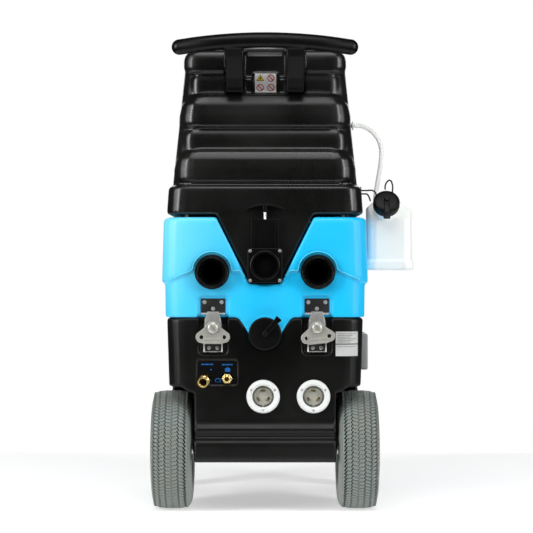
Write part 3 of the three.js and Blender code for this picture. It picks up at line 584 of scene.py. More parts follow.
def tyrePiece(name, side):
    # the tread's wide groove is on the inner side of each wheel
    section = tyreSection()
    section.append(section[0])
    turns = tyre["teeth"] * tyre["rows"]
    dropSelection()
    bpy.ops.mesh.primitive_grid_add(x_subdivisions=len(section) - 1, y_subdivisions=turns, size=1)
    piece = bpy.context.object
    piece.name = name
    centre = at(side * tyre["middle"], 0, tyre["axle"])
    for index, vertex in enumerate(piece.data.vertices):
        turn, column = divmod(index, len(section))
        u, radius, kind, sunk = section[column]
        phase = (turn % tyre["rows"]) / tyre["rows"]
        if kind == "groove":
            u += tyre["zigzag"] * (1 - phase * 2.5)
            radius -= 0.8 * sunk if phase < 0.7 else 0.45 * sunk
        elif kind == "block" and turn % tyre["rows"] == (0, 2)[column // 7 % 2]:
            radius -= tyre["sipe"]
        angle = turn / turns * math.tau
        vertex.co = centre + Vector(
            (-side * u / 1000, -radius / 1000 * math.cos(angle), radius / 1000 * math.sin(angle))
        )
    openMesh(piece)
    finishMesh()
    return smoothShade(piece, 24)


rim = {
    "profile": [
        (8.5, -32), (16, -32), (17, -31), (17, -9), (20, -6), (30, -4.5), (38, -7), (42.5, -14),
        (44.5, -25), (46, -30.5), (48.5, -32.5), (50.6, -31.5), (50.6, -29), (49.4, -24), (49, 0),
        (49.4, 24), (50.6, 29), (50.6, 31.5), (48.5, 32.5), (46, 30.5), (44.5, 25), (42.5, 14), (38, 9),
        (30, 6.5), (20, 6), (17, 9), (17, 31), (16, 32), (8.5, 32), (8.5, -32),
    ],
    "bolts": 4, "boltCircle": 27,
}


def hexHead(name, centre, axis, across, height):
    # a bolt head standing out along the axis from its centre
    head = turned(
        name, centre, axis,
        [(0, 0), (across, 0), (across, height * 0.75), (across * 0.8, height), (0, height)], 6
    )
    return smoothShade(roundEdges(head, across * 0.06, 2), 30)


def rimPiece(name, side):
    x = side * tyre["middle"]
    rimBody = smoothShade(turned(name, (x, 0, tyre["axle"]), "x", rim["profile"], 72), 40)
    heads = []
    for index in range(rim["bolts"]):
        angle = math.tau * (index + 0.5) / rim["bolts"]
        y, z = rim["boltCircle"] * math.cos(angle), tyre["axle"] + rim["boltCircle"] * math.sin(angle)
        for way in (-1, 1):
            heads.append(hexHead("rimBolt", (x + way * (6 if way > 0 else 4), y, z), "x", 6.2, way * 5))
    return weld(name, rimBody, *heads)


for side, hand in ((-1, "left"), (1, "right")):
    fit(tyrePiece(f"{hand}Tyre", side), tyreGrey, f"wheel_{hand}", "grey_rubber", f"tyre_{hand}")
    fit(rimPiece(f"{hand}Rim", side), blackSteel, f"wheel_{hand}", "black_steel", f"rim_{hand}")


def axlePiece():
    rod = turned("axleRod", (0, 0, tyre["axle"]), "x", [(0, -238), (8, -238), (8, 238), (0, 238)], 40)
    parts = [roundEdges(rod, 0.8, 2)]
    for side in (-1, 1):
        for start, end, radius in (
            (156, 158, 15), (159, 169, 11.5), (169.4, 171.4, 15.5), (236.6, 238.4, 14)
        ):
            ring = [
                (8.1, side * start), (radius, side * start), (radius, side * end), (8.1, side * end),
                (8.1, side * start)
            ]
            parts.append(roundEdges(turned("washer", (0, 0, tyre["axle"]), "x", ring, 40), 0.5, 2))
        cap = [
            (0, side * 243.6), (6, side * 243.2), (10, side * 241.4), (11, side * 238.6), (8.2, side * 238.6)
        ]
        parts.append(turned("pushCap", (0, 0, tyre["axle"]), "x", [*cap, (0, side * 238.6)], 32))
    return smoothShade(weld("axleRod", *parts), 40)


fit(axlePiece(), zincSteel, "machine", "zinc_steel", "axle")
print("rear wheels made")

# front casters
caster = {"pivotX": 200, "pivotY": 470, "wheelY": 435, "radius": 51, "plateTop": 131.6, "plateBottom": 127.6}


def screwHead(name, centre, axis, radius, height, toward=-1):
    # a pan head with a cross recess; toward says which way along the axis it faces
    dome = [(0, 0), (radius, 0), (radius, 0.35), (radius * 0.86, 0.75), (radius * 0.5, 1), (0, 1)]
    head = turned(
        name, centre, axis, [(r, toward * h * height if r < radius or h else 0) for r, h in dome], 28
    )
    x, y, z = centre
    long, thin, sink = radius * 0.62, radius * 0.14, height * 0.55
    for a, b in ((long, thin), (thin, long)):
        if axis == "y":
            start = (x - a, y + toward * (height - sink), z - b)
            end = (x + a, y + toward * height * 1.6, z + b)
        else:
            start = (x - a, y - b, z + toward * (height - sink))
            end = (x + a, y + b, z + toward * height * 1.6)
        low = [min(pair) for pair in zip(start, end)]
        high = [max(pair) for pair in zip(start, end)]
        carve(head, block("recess", low, high))
    return smoothShade(head, 30)


def casterPlatePiece(name, side):
    x, y = side * caster["pivotX"], caster["pivotY"]
    plate = block(name, (x - 24, y - 46, caster["plateBottom"]), (x + 24, y + 46, caster["plateTop"]))
    roundEdges(plate, 1.2, 2)
    parts = [plate]
    race = [(0, 127.8), (22, 127.8), (24, 126), (24, 122), (21, 120.2), (7, 120.2), (7, 123), (0, 123)]
    parts.append(roundEdges(turned("race", (x, y, 0), "z", race, 40), 0.6, 2))
    for dx in (-16, 16):
        for dy in (-36, 36):
            parts.append(hexHead("plateBolt", (x + dx, y + dy, caster["plateBottom"]), "z", 5.6, -4))
    return smoothShade(weld(name, *parts), 35)


def casterForkPiece(name, side):
    x, y, wheelY = side * caster["pivotX"], caster["pivotY"], caster["wheelY"]
    leg = [
        (y - 24, 119.4), (y + 21, 119.4), (y + 21, 112), (y + 8, 88), (wheelY + 12, 55), (wheelY + 9, 44),
        (wheelY, 40), (wheelY - 9, 44), (wheelY - 12, 55), (y - 30, 92), (y - 27, 112),
    ]
    parts = [slab("forkLeg", leg, x + way * 19.2, x + way * 22, "x") for way in (-1, 1)]
    parts.append(block("forkCrown", (x - 22, y - 26, 116), (x + 22, y + 21, 119.4)))
    for part in parts:
        roundEdges(part, 1.1, 2)
    parts.append(turned("kingpin", (x, y, 0), "z", [(0, 116), (6, 116), (6, 127), (0, 127)], 24))
    parts.append(hexHead("axleHead", (x - 22, wheelY, caster["radius"]), "x", 6.5, -4))
    parts.append(hexHead("axleNut", (x + 22, wheelY, caster["radius"]), "x", 6.5, 4))
    parts.append(
        turned("casterAxle", (x, wheelY, caster["radius"]), "x", [(0, -22), (4, -22), (4, 22), (0, 22)], 20)
    )
    return smoothShade(weld(name, *parts), 35)


casterWheelProfile = [
    (4.3, -17), (10.5, -17), (11, -16.4), (11, -12), (14, -9), (31, -9), (34, -12), (35, -14.4),
    (37.5, -15), (46, -14.4), (49.5, -12.4), (51, -8.4), (51, 8.4), (49.5, 12.4), (46, 14.4), (37.5, 15),
    (35, 14.4), (34, 12), (31, 9), (14, 9), (11, 12), (11, 16.4), (10.5, 17), (4.3, 17), (4.3, -17),
]
for side, hand in ((-1, "left"), (1, "right")):
    wheelMiddle = (side * caster["pivotX"], caster["wheelY"], caster["radius"])
    fit(
        casterPlatePiece(f"{hand}CasterPlate", side), zincSteel, "machine", "zinc_steel",
        f"caster_plate_{hand}"
    )
    fit(
        casterForkPiece(f"{hand}CasterFork", side), zincSteel, f"caster_{hand}", "zinc_steel",
        f"caster_fork_{hand}"
    )
    roller = smoothShade(turned(f"{hand}CasterWheel", wheelMiddle, "x", casterWheelProfile, 64), 35)
    fit(roller, casterGrey, f"caster_roller_{hand}", "grey_rubber", f"caster_wheel_{hand}")
print("casters made")

# handle
handle = {
    "radius": 17, "reach": 184.5, "bow": 32, "drop": 11, "middleY": -148, "middleZ": 1019, "arm": 66.5,
    "armHalf": 18
}


def handlePiece():
    knots = []
    for share in (-1, -0.75, -0.5, -0.25, 0, 0.25, 0.5, 0.75, 1):
        bend = share * share
        knots.append((
            handle["reach"] * share, handle["middleY"] + handle["bow"] * bend,
            handle["middleZ"] - handle["drop"] * bend,
        ))
    bar = asMesh(tubeAlong("handleBar", knots, handle["radius"], 16, 6))
    parts = [bar]
    for x, y, z in (knots[0], knots[-1]):
        dropSelection()
        bpy.ops.mesh.primitive_uv_sphere_add(
            radius=handle["radius"] / 1000, location=at(x, y, z), segments=32, ring_count=20
        )
        parts.append(bakePlace(bpy.context.object))
    side = [
        (-98, 913.6), (-52.6, 913.6), (-52.6, 930), (-62, 941), (-84, 968), (-120, 1004), (-138, 1012),
        (-156, 1012), (-141, 985), (-112, 942), (-101, 922),
    ]
    for way in (-1, 1):
        middle = way * handle["arm"]
        parts.append(slab("arm", side, middle - handle["armHalf"], middle + handle["armHalf"], "x"))
    piece = weld("handle", *parts)
    useModifier(piece, "REMESH", mode="VOXEL", voxel_size=0.0016)
    useModifier(piece, "SMOOTH", factor=0.5, iterations=10)
    useModifier(piece, "DECIMATE", ratio=0.35)
    bpy.ops.object.shade_smooth()
    return piece


fit(handlePiece(), blackNylon, "machine", "black_nylon", "handle")

# vacuum hose ports
port = {"x": 114.5, "z": 523.5, "riserX": 160, "riserY": -25, "pipe": 26, "wall": 3}
portCollar = [
    (25.5, -84), (25.5, -108), (26.6, -112.5), (27.4, -114.4), (27.9, -117.8), (28.8, -119), (29.7, -119),
    (30.5, -118), (31.2, -116.4), (32.4, -116), (34, -117), (35.8, -116.8), (37.3, -115.2), (37.9, -112),
    (37.9, -106.2), (37.2, -105.5), (30.4, -105.5), (30.4, -84), (25.5, -84),
]


def portPiece(name, side):
    x, z = side * port["x"], port["z"]
    collar = turned(name, (x, 0, z), "y", portCollar, 72)
    route = [
        (x, -96, z), (x, -78, z), (side * (port["x"] + 14), -56, z),
        (side * (port["riserX"] - 8), -36, z + 10), (side * port["riserX"], port["riserY"], z + 36),
        (side * port["riserX"], port["riserY"], z + 90), (side * port["riserX"], port["riserY"], 660),
    ]
    line = tubeAlong("riser", route, port["pipe"] - port["wall"], 16, 8)
    line.data.use_fill_caps = False
    pipe = asMesh(line)
    useModifier(pipe, "SOLIDIFY", thickness=port["wall"] / 1000, offset=1)
    return smoothShade(weld(name, collar, pipe), 35)


for side, hand in ((-1, "left"), (1, "right")):
    fit(portPiece(f"{hand}HosePort", side), blackRubber, "machine", "black_rubber", f"hose_port_{hand}")
    # a matt near-black sleeve just inside the socket keeps its wall dark: painted shade
    sleeve = [(25.45, -84), (25.45, -109), (25, -109.6), (24.9, -109), (24.9, -84), (25.45, -84)]
    paintedShadeLiner = turned(f"{hand}SocketPaintedShade", (side * port["x"], 0, port["z"]), "y", sleeve, 64)
    fit(smoothShade(paintedShadeLiner, 40), paintedShadeBlack, "machine", "black_rubber")
print("handle and hose ports made")


def turnAbout(piece, centre, axis, degrees):
    take(piece)
    bpy.ops.transform.rotate(
        value=-math.radians(degrees), orient_axis=axis, orient_type="GLOBAL", center_override=at(*centre)
    )
    return bakePlace(piece)


def arcPoints(x, z, radius, start, end, steps=12):
    turns = [math.radians(start + (end - start) * i / steps) for i in range(steps + 1)]
    return [(x + radius * math.cos(turn), z + radius * math.sin(turn)) for turn in turns]


def roundedBox(low, high, radius, steps=6):
    # the outline of a rectangle with round corners
    (left, bottom), (right, top) = low, high
    corners = ((right, top, 0), (left, top, 90), (left, bottom, 180), (right, bottom, 270))
    outline = []
    for x, z, start in corners:
        inX = x - radius if x == right else x + radius
        inZ = z - radius if z == top else z + radius
        outline += arcPoints(inX, inZ, radius, start, start + 90, steps)
    return outline


# dump valve
valve = {
    "z": 537, "half": 37.5, "bore": 26, "houseHalf": 29.5, "houseTop": 637,
    "screws": ((-32, 505), (32, 505), (-32, 568.8), (32, 568.8))
}


def valveBodyPiece():
    z, half = valve["z"], valve["half"]
    plate = slab("valvePlate", roundedBox((-half, z - half), (half, z + half), 5), -112, -99.2)
    carve(plate, slab("valveSeat", arcPoints(0, z, valve["bore"], 0, 352.5, 47), -118, -92))
    roundEdges(plate, 1.6, 4, 40)
    house = slab(
        "valveHouse",
        roundedBox((-valve["houseHalf"], z + half - 3), (valve["houseHalf"], valve["houseTop"]), 4), -110,
        -99.5
    )
    slotOutline = roundedBox((-7, 620), (7, 645), 3)
    carve(house, slab("rodMouth", slotOutline, -109, -101.4))
    roundEdges(house, 1.4, 3, 40)
    ribs = [
        slab("valveRib", roundedBox((x - 1.4, 578), (x + 1.4, 632), 1.2), -111.4, -109.6)
        for x in (-22, 22)
    ]
    for rib in ribs:
        roundEdges(rib, 0.5, 2)
    lip = turned("valveLip", (0, 0, z), "y", [
        (valve["bore"], -100), (valve["bore"], -116.4), (26.8, -117.7), (28.2, -118), (30, -117.7),
        (31, -116.6), (31.4, -112.6), (32.6, -111.8), (32.6, -111), (30, -110), (30, -100),
        (valve["bore"], -100),
    ], 96)
    return smoothShade(weld("dumpValveBody", plate, house, lip, *ribs), 35)


fit(valveBodyPiece(), blackNylon, "machine", "black_nylon", "dump_valve_body")
for index, (x, z) in enumerate(valve["screws"]):
    fit(screwHead(f"valveScrew{index + 1}", (x, -112, z), "y", 3.6, 1.5), zincSteel, "machine", "zinc_steel")

# the gate takes the painted-shade black so it reads as the dark inside of the valve
gate = slab("dumpGate", roundedBox((-26.4, valve["z"] - 30), (26.4, 566), 3), -106.7, -104.3)
fit(smoothShade(roundEdges(gate, 0.5, 2)), paintedShadeBlack, "dump_slider", "black_nylon", "dump_gate")


def pullPiece():
    arch = arcPoints(0, 569.8, 100.2, 114.5, 65.5, 28) + arcPoints(0, 569.8, 96.2, 65.5, 114.5, 28)
    grip = roundEdges(slab("pullGrip", arch, -115, -101), 1.5, 4, 30)
    boss = turned(
        "pullBoss", (0, -105.5, 0), "z", [(0, 653), (4.4, 653), (5, 654.5), (6.2, 668), (0, 668)], 32
    )
    return smoothShade(weld("dumpPull", grip, boss), 35)


fit(pullPiece(), blackNylon, "dump_slider", "black_nylon", "dump_pull")
pullRod = turned("pullRod", (0, -105.5, 0), "z", [(0, 566.5), (3, 566.5), (3, 655), (0, 655)], 24)
fit(smoothShade(pullRod), zincSteel, "dump_slider", "zinc_steel")

# fill cap
cap = {"z": 390, "radius": 35.7, "lean": 42}  # lean: degrees the strap stands over to the right
capProfile = [
    (0, -127.6), (16, -127.8), (24, -128.1), (29.6, -129), (32.6, -129), (34.6, -128),
    (cap["radius"], -125.8), (cap["radius"], -106), (35.1, -103.4), (31.2, -103.2), (30.8, -104),
    (30.8, -124.5), (0, -124.5),
]


def fillCapPiece():
    middle = (0, 0, cap["z"])
    top = turned("capTop", middle, "y", capProfile, 96)
    nub = turned(
        "capNub", middle, "y", [(0, -135), (3.6, -135), (4.8, -134.2), (5.4, -131), (7, -127.4), (0, -127.4)],
        32
    )
    strap = slab("capStrap", roundedBox((-6, cap["z"]), (6, cap["z"] + 44), 4), -132, -128)
    roundEdges(strap, 1.2, 3, 30)
    tab = slab("capTab", roundedBox((-7, cap["z"] + 39.5), (7, cap["z"] + 46), 1.6), -132, -112)
    roundEdges(tab, 1.2, 3, 30)
    arm = weld("capArm", strap, tab)
    turnAbout(arm, middle, "Y", cap["lean"])
    return smoothShade(weld("fillCap", top, nub, arm), 35)


fit(fillCapPiece(), blackNylon, "fill_closure", "black_nylon", "fill_cap")
print("valve and cap made")

# twist latches
latch = {"x": 112.5, "boltZ": 402.5, "wingLean": {"left": 0, "right": -6}}


def keeperPieces(hand, x):
    plate = slab(f"{hand}Keeper", roundedBox((x - 26, 430.9), (x + 26, 465.5), 2), -94, -92.4)
    fit(smoothShade(roundEdges(plate, 0.4, 2)), keeperSteel, "machine", "zinc_steel", f"latch_keeper_{hand}")
    lipSide = [
        (-94.2, 434.6), (-93.6, 431), (-105, 431), (-106, 431.8), (-106, 433.2), (-104.9, 433.6),
        (-97.5, 433.6), (-95.8, 435)
    ]
    lip = slab(f"{hand}KeeperLip", lipSide, x - 26, x + 26, "x")
    fit(smoothShade(roundEdges(lip, 0.4, 2)), zincSteel, "machine", "zinc_steel")
    for index, (dx, z) in enumerate(((-18.5, 457.6), (18.5, 457.6), (0, 443.6))):
        screw = screwHead(f"{hand}KeeperScrew{index + 1}", (x + dx, -94, z), "y", 4.3, 2.2)
        fit(screw, zincSteel, "machine", "zinc_steel")


def latchBasePieces(hand, x):
    plate = slab(f"{hand}LatchBase", roundedBox((x - 20.6, 350), (x + 20.6, 412), 2), -94, -92.4)
    fit(smoothShade(roundEdges(plate, 0.4, 2)), keeperSteel, "machine", "zinc_steel", f"latch_base_{hand}")
    ears = []
    for way in (-1, 1):
        side = [
            (-93, 349.8), (-101, 349.8), (-103, 353), (-104.2, 368), (-104.2, 381), (-101, 386), (-93, 386)
        ]
        start = x + way * 19.4
        ears.append(roundEdges(slab("ear", side, start - 1.5, start + 1.5, "x"), 0.5, 2))
    foot = slab("baseFoot", roundedBox((x - 20.6, 349.6), (x + 20.6, 352), 0.8), -97, -93)
    ears.append(roundEdges(foot, 0.4, 2))
    fit(smoothShade(weld(f"{hand}LatchEars", *ears)), zincSteel, "machine", "zinc_steel")
    for index, dx in enumerate((-9, 9)):
        screw = screwHead(f"{hand}LatchScrew{index + 1}", (x + dx, -94, 358.8), "y", 4.2, 2)
        fit(screw, zincSteel, "machine", "zinc_steel")


def carrierPiece(hand, x):
    z = latch["boltZ"]
    body = slab("carrierBlock", roundedBox((x - 17.3, 373.5), (x + 17.3, 409), 3), -104, -96)
    parts = [roundEdges(body, 0.8, 2)]
    parts.append(
        turned("carrierPin", (x, -99, 378), "x", [(0, -21.2), (2.5, -21.2), (2.5, 21.2), (0, 21.2)], 20)
    )
    parts.append(turned("boltShank", (x, 0, z), "y", [(0, -120), (4, -120), (4, -103), (0, -103)], 24))
    dome = [(0, -122.2), (5, -122), (8.4, -121.3), (10.6, -120), (11.7, -118.2), (11.7, -116.9), (0, -116.9)]
    head = turned("boltHead", (x, 0, z), "y", dome, 48)
    groove = block("boltSlot", (x - 11, -124, z - 1), (x + 11, -120.4, z + 1))
    turnAbout(groove, (x, 0, z), "Y", 52)
    parts.append(carve(head, groove))
    return smoothShade(weld(f"{hand}LatchCarrier", *parts), 32)


def hookPiece(hand, x):
    half = [(18, 386), (18, 416), (16.6, 423), (13.4, 431), (12.4, 436.8)]
    outline = [(x + u, v) for u, v in half] + [(x - u, v) for u, v in reversed(half)]
    plate = slab("hookPlate", outline, -109.5, -107.3)
    window = [(x - 4.7, 391.5), (x + 4.7, 391.5), (x + 4.7, 407.5), (x - 4.7, 407.5)]
    carve(plate, slab("hookWindow", window, -112, -104))
    curl = [
        (-109.5, 434), (-109.3, 436), (-107.8, 437.3), (-99, 437.3), (-97.3, 436.4), (-97.2, 434.4),
        (-98.4, 434.2), (-99.4, 435), (-106.6, 435), (-107.3, 434)
    ]
    tongue = slab("hookCurl", curl, x - 12.4, x + 12.4, "x")
    ribs = [
        slab("hookRib", roundedBox((x + dx - 1.2, 392), (x + dx + 1.2, 424), 1), -110.3, -109.3)
        for dx in (-14.8, 14.8)
    ]
    for part, width in ((plate, 0.5), (tongue, 0.4), *((rib, 0.4) for rib in ribs)):
        roundEdges(part, width, 2)
    return smoothShade(weld(f"{hand}LatchHook", plate, tongue, *ribs), 35)


def wingPiece(hand, x):
    z = latch["boltZ"]
    half = [
        (7, 13), (11, 9.6), (14.6, 4.6), (20, -1), (30.2, -8.6), *arcPoints(24.6, -20, 12.4, 50, -70, 14),
        (24.4, -32.4), (22, -33.4)
    ]
    outline = [(x + u, z + v) for u, v in half] + [(x - u, z + v) for u, v in reversed(half)]
    plate = slab("wingPlate", outline, -115.6, -112.6)
    for way in (-1, 1):
        hole = slab("wingHole", arcPoints(x + way * 24.5, z - 20, 4.4, 0, 345, 23), -120, -108)
        carve(plate, hole)
    carve(plate, slab("wingBore", arcPoints(x, z, 4.5, 0, 345, 23), -120, -108))
    roundEdges(plate, 0.8, 3, 40)
    band = [slab("wingBead", roundedBox((x - 19, z - 25.4), (x + 19, z - 22.4), 1.4), -116.6, -115.4)]
    band.append(slab("wingFold", roundedBox((x - 21, z - 34.4), (x + 21, z - 29.6), 2), -116.4, -112.8))
    for bead in band:
        roundEdges(bead, 0.6, 3, 30)
    wing = weld(f"{hand}LatchWing", plate, *band)
    lean = latch["wingLean"][hand]
    if lean:
        turnAbout(wing, (x, 0, z), "Y", lean)
    return smoothShade(wing, 35)


for side, hand in ((-1, "left"), (1, "right")):
    x = side * latch["x"]
    keeperPieces(hand, x)
    latchBasePieces(hand, x)
    fit(carrierPiece(hand, x), wingSteel, f"latch_tip_{hand}", "zinc_steel", f"latch_carrier_{hand}")
    fit(hookPiece(hand, x), zincSteel, f"latch_draw_{hand}", "zinc_steel", f"latch_hook_{hand}")
    fit(wingPiece(hand, x), wingSteel, f"latch_turn_{hand}", "zinc_steel", f"latch_wing_{hand}")
print("latches made")

# coupling panel
panel = {"low": (-146.5, 278.9), "high": (-60.5, 331.1), "face": -97.6}
plate = slab("fittingPanel", roundedBox(panel["low"], panel["high"], 3.5), panel["face"], -95.4)
fit(smoothShade(roundEdges(plate, 0.5, 3)), blackGloss, "machine", "black_nylon", "fitting_panel")
markBlue = smoothPlastic("markBlue", (0.008, 0.12, 0.4), 0.4)


def markPiece(name, outlines, ink, slot="black_nylon", face=panel["face"], lift=0.25):
    bits = [slab("mark", outline, face - lift, face + 0.1) for outline in outlines]
    return fit(weld(name, *bits), ink, "machine", slot)


def dashes(x, z, lengths, height=3):
    # a row of plain bars where small print would be
    rows = []
    for length in lengths:
        rows.append(roundedBox((x, z), (x + length, z + height), 0.6, 2))
        x += length + 1.2
    return rows


markPiece("outletDashes", dashes(-137.5, 321.5, (4, 3, 6, 3, 4)), markBlue)
markPiece("fillDashes", dashes(-93, 321, (5, 3, 4, 3, 3)), markBlue)
markPiece("outletSign", [roundedBox((-118.5, 310.4), (-115.5, 313), 0.5, 2)], markBlue)
markPiece("fillSign", [
    roundedBox((-86.5, 307), (-75.5, 315), 0.8, 2), [(-82.6, 314.8), (-79.4, 314.8), (-81, 318.2)],
], markBlue)
bow = arcPoints(-101.8, 287, 6.6, 0, 180, 16) + arcPoints(-101.8, 287, 4.6, 180, 0, 16)
markPiece("ventSign", [bow, roundedBox((-108.4, 284.4), (-95.2, 285.6), 0.5, 2)], markBlue)


def hexPiece(name, centre, across, front, back):
    nut = turned(
        name, centre, "y",
        [(0, back), (across, back), (across, front + 1.2), (across * 0.88, front), (0, front)], 6
    )
    turnAbout(nut, centre, "Y", 30)
    return smoothShade(roundEdges(nut, 0.5, 2), 30)


def outletPiece():
    x, z = -131, 289
    nut = hexPiece("outletHex", (x, 0, z), 13.4, -107, -99.8)
    tube = turned("outletBarrel", (x, 0, z), "y", [
        (7.4, -104), (7.4, -126), (8.8, -127.8), (11, -127.8), (12, -126.6), (12, -122), (11.2, -121),
        (11.2, -117.6), (12.2, -116.6), (12.2, -104), (7.4, -104),
    ], 64)
    turnAbout(tube, (x, -107, z), "X", 10)
    turnAbout(tube, (x, -107, z), "Z", -7)
    return smoothShade(weld("solutionOutlet", nut, tube), 32)


def nipplePiece():
    x, z = -82, 292.5
    nut = hexPiece("nippleHex", (x, 0, z), 11.6, -107.4, -99.8)
    nose = turned("nippleNose", (x, 0, z), "y", [
        (2.6, -107), (2.6, -123), (3.2, -125), (4.6, -125), (5.4, -124), (5.7, -117.4), (4.5, -115.6),
        (4.5, -113.6), (6.8, -112), (9, -110), (9, -107), (2.6, -107),
    ], 48)
    return smoothShade(weld("autoFillNipple", nut, nose), 32)


fit(outletPiece(), brass, "machine", "brass", "solution_outlet")
fit(nipplePiece(), brass, "machine", "brass", "auto_fill_nipple")
core = turned("outletValve", (-131, 0, 289), "y", [(0, -110), (7, -110), (7, -106), (0, -106)], 32)
fit(smoothShade(core), blackRubber, "machine", "black_rubber")

# power inlets
inlet = {"places": {"left": -4, "right": 105}, "z": 253.6, "screwCircle": 29.2}
flangeProfile = [
    (23.4, -90), (23.4, -104.6), (24, -106), (25.4, -107), (26.2, -109), (27, -109.5), (31.6, -109.5),
    (33.4, -108.9), (35, -107.4), (36, -105.4), (36.2, -103), (36.2, -101), (35.6, -100.4), (24.6, -100.4),
    (24.6, -90), (23.4, -90),
]
coreProfile = [
    (0, -99), (17.6, -99), (19.2, -98.4), (19.6, -97), (19.6, -93), (22.8, -93), (22.8, -88), (0, -88)
]


def inletPieces(hand, x):
    middle = (x, 0, inlet["z"])
    ring = smoothShade(turned(f"{hand}InletFlange", middle, "y", flangeProfile, 96), 35)
    fit(ring, whiteNylon, "machine", "white_nylon", f"inlet_flange_{hand}")
    face = turned(f"{hand}InletCore", middle, "y", coreProfile, 72)
    blades = []
    for index, degrees in enumerate((90, 210, 330)):
        turn = math.radians(degrees)
        dx, dz = 12 * math.cos(turn), 12 * math.sin(turn)
        pocket = slab(
            "bladePocket", roundedBox((x - 5, inlet["z"] - 2.2), (x + 5, inlet["z"] + 2.2), 1), -103, -94
        )
        blade = slab(
            "blade", roundedBox((x - 3.5, inlet["z"] - 0.9), (x + 3.5, inlet["z"] + 0.9), 0.4), -103.4, -93
        )
        for item in (pocket, blade):
            turnAbout(item, middle, "Y", 90 - degrees)
            take(item)
            bpy.ops.transform.translate(value=(dx / 1000, 0, dz / 1000))
            bakePlace(item)
        carve(face, pocket)
        blades.append(roundEdges(blade, 0.3, 2))
    key = slab("keyRib", roundedBox((x - 1.6, inlet["z"] - 22), (x + 1.6, inlet["z"] - 16), 0.6), -101, -92)
    fit(
        smoothShade(weld(f"{hand}InletCore", face, key), 35), greyNylon, "machine", "grey_nylon",
        f"inlet_core_{hand}"
    )
    fit(smoothShade(weld(f"{hand}InletBlades", *blades)), brass, "machine", "brass")
    for index, degrees in enumerate((30, 150, 270)):
        turn = math.radians(degrees)
        spot = (
            x + inlet["screwCircle"] * math.cos(turn), -109.3,
            inlet["z"] + inlet["screwCircle"] * math.sin(turn)
        )
        fit(
            screwHead(f"{hand}InletScrew{index + 1}", spot, "y", 2.7, 1.1), zincSteel, "machine", "zinc_steel"
        )


for hand, x in inlet["places"].items():
    inletPieces(hand, x)
print("panel and inlets made")


# side vent cover
vent = {"y0": 30, "y1": 180, "z0": 304, "z1": 384, "inner": 213.4, "outer": 232, "slots": 5}


def ventPiece():
    box = slab(
        "ventBox", roundedBox((vent["y0"], vent["z0"]), (vent["y1"], vent["z1"]), 6), vent["inner"],
        vent["outer"] - 2, "x"
    )
    roundEdges(box, 3.5, 4, 40)
    bars = []
    pitch = (vent["z1"] - vent["z0"] - 16) / vent["slots"]
    for index in range(vent["slots"]):
        z = vent["z0"] + 10 + pitch * index
        low = (vent["outer"] - 9, vent["y0"] + 14, z)
        high = (vent["outer"] + 3, vent["y1"] - 14, z + pitch - 6)
        carve(box, block("ventSlot", low, high))
        louvre = [
            (vent["outer"] - 7, z + pitch - 8), (vent["outer"] - 5.6, z + pitch - 7),
            (vent["outer"] - 1, z + 1.5), (vent["outer"] - 2, z - 0.5)
        ]
        bars.append(slab("louvre", louvre, vent["y0"] + 13, vent["y1"] - 13))
    return smoothShade(weld("sideVentCover", box, *bars), 35)


fit(ventPiece(), ventGrey, "machine", "grey_nylon", "side_vent_cover")


# sheets that lie on the mouldings
def rearFace(tank, x, z):
    # how far back the surface stands at this place, in mm, found by a ray from well behind it
    place = tank.ray_cast(at(x, -400, z), Vector((0, 1, 0)))[1]
    return (place - axleMiddle).y * 1000


def drapedSheet(name, tank, low, high, lift, thickness, columns=26, rows=18, lean=0):
    # a thin sheet laid on the rear of a moulding, between two corners of the plane square to y
    dropSelection()
    bpy.ops.mesh.primitive_grid_add(x_subdivisions=columns, y_subdivisions=rows, size=1, location=(0, 0, 0))
    sheet = bpy.context.object
    sheet.name = name
    for vertex in sheet.data.vertices:
        x = low[0] + (high[0] - low[0]) * (vertex.co.x + 0.5) + lean * (vertex.co.y + 0.5)
        z = low[1] + (high[1] - low[1]) * (vertex.co.y + 0.5)
        vertex.co = at(x, rearFace(tank, x, z) - lift, z)
    useModifier(sheet, "SOLIDIFY", thickness=thickness / 1000, offset=1)
    openMesh(sheet)
    bpy.ops.mesh.select_all(action="SELECT")
    bpy.ops.mesh.normals_make_consistent(inside=False)
    closeMesh()
    return smoothShade(sheet, 30)


machineTank, machineBase = bpy.data.objects["recoveryTank"], bpy.data.objects["baseHousing"]
stickerWhite = smoothPlastic("stickerWhite", (0.8, 0.8, 0.79), 0.4)
bandGrey = smoothPlastic("bandGrey", (0.17, 0.17, 0.17), 0.5)
plateGrey = smoothPlastic("plateGrey", (0.55, 0.56, 0.55), 0.35)
# two plates beside the latch, with plain lines where their print would be
ratingPlate = {
    "left": 153, "right": 201, "heights": ((368, 394), (341, 366)), "thickness": 0.6,
    "lines": (389, 385, 381.5, 378, 374.5, 371), "lineHeight": 1.1,
}
for index, (bottom, top) in enumerate(ratingPlate["heights"]):
    low, high = (ratingPlate["left"], bottom), (ratingPlate["right"], top)
    sheet = drapedSheet(f"ratingPlate{index + 1}", machineBase, low, high, 0.1, ratingPlate["thickness"])
    fit(sheet, plateGrey, "machine", "zinc_steel")
rows = [(157, z, 197 - 6 * (step % 3)) for step, z in enumerate(ratingPlate["lines"])]
rows.append((158, 361, 196))
printed = [
    drapedSheet(
        "plateLine", machineBase, (start, z), (end, z + ratingPlate["lineHeight"]), 0.72, 0.1, 20, 2
    ) for start, z, end in rows
]
fit(weld("plateLines", *printed), bandGrey, "machine", "zinc_steel")

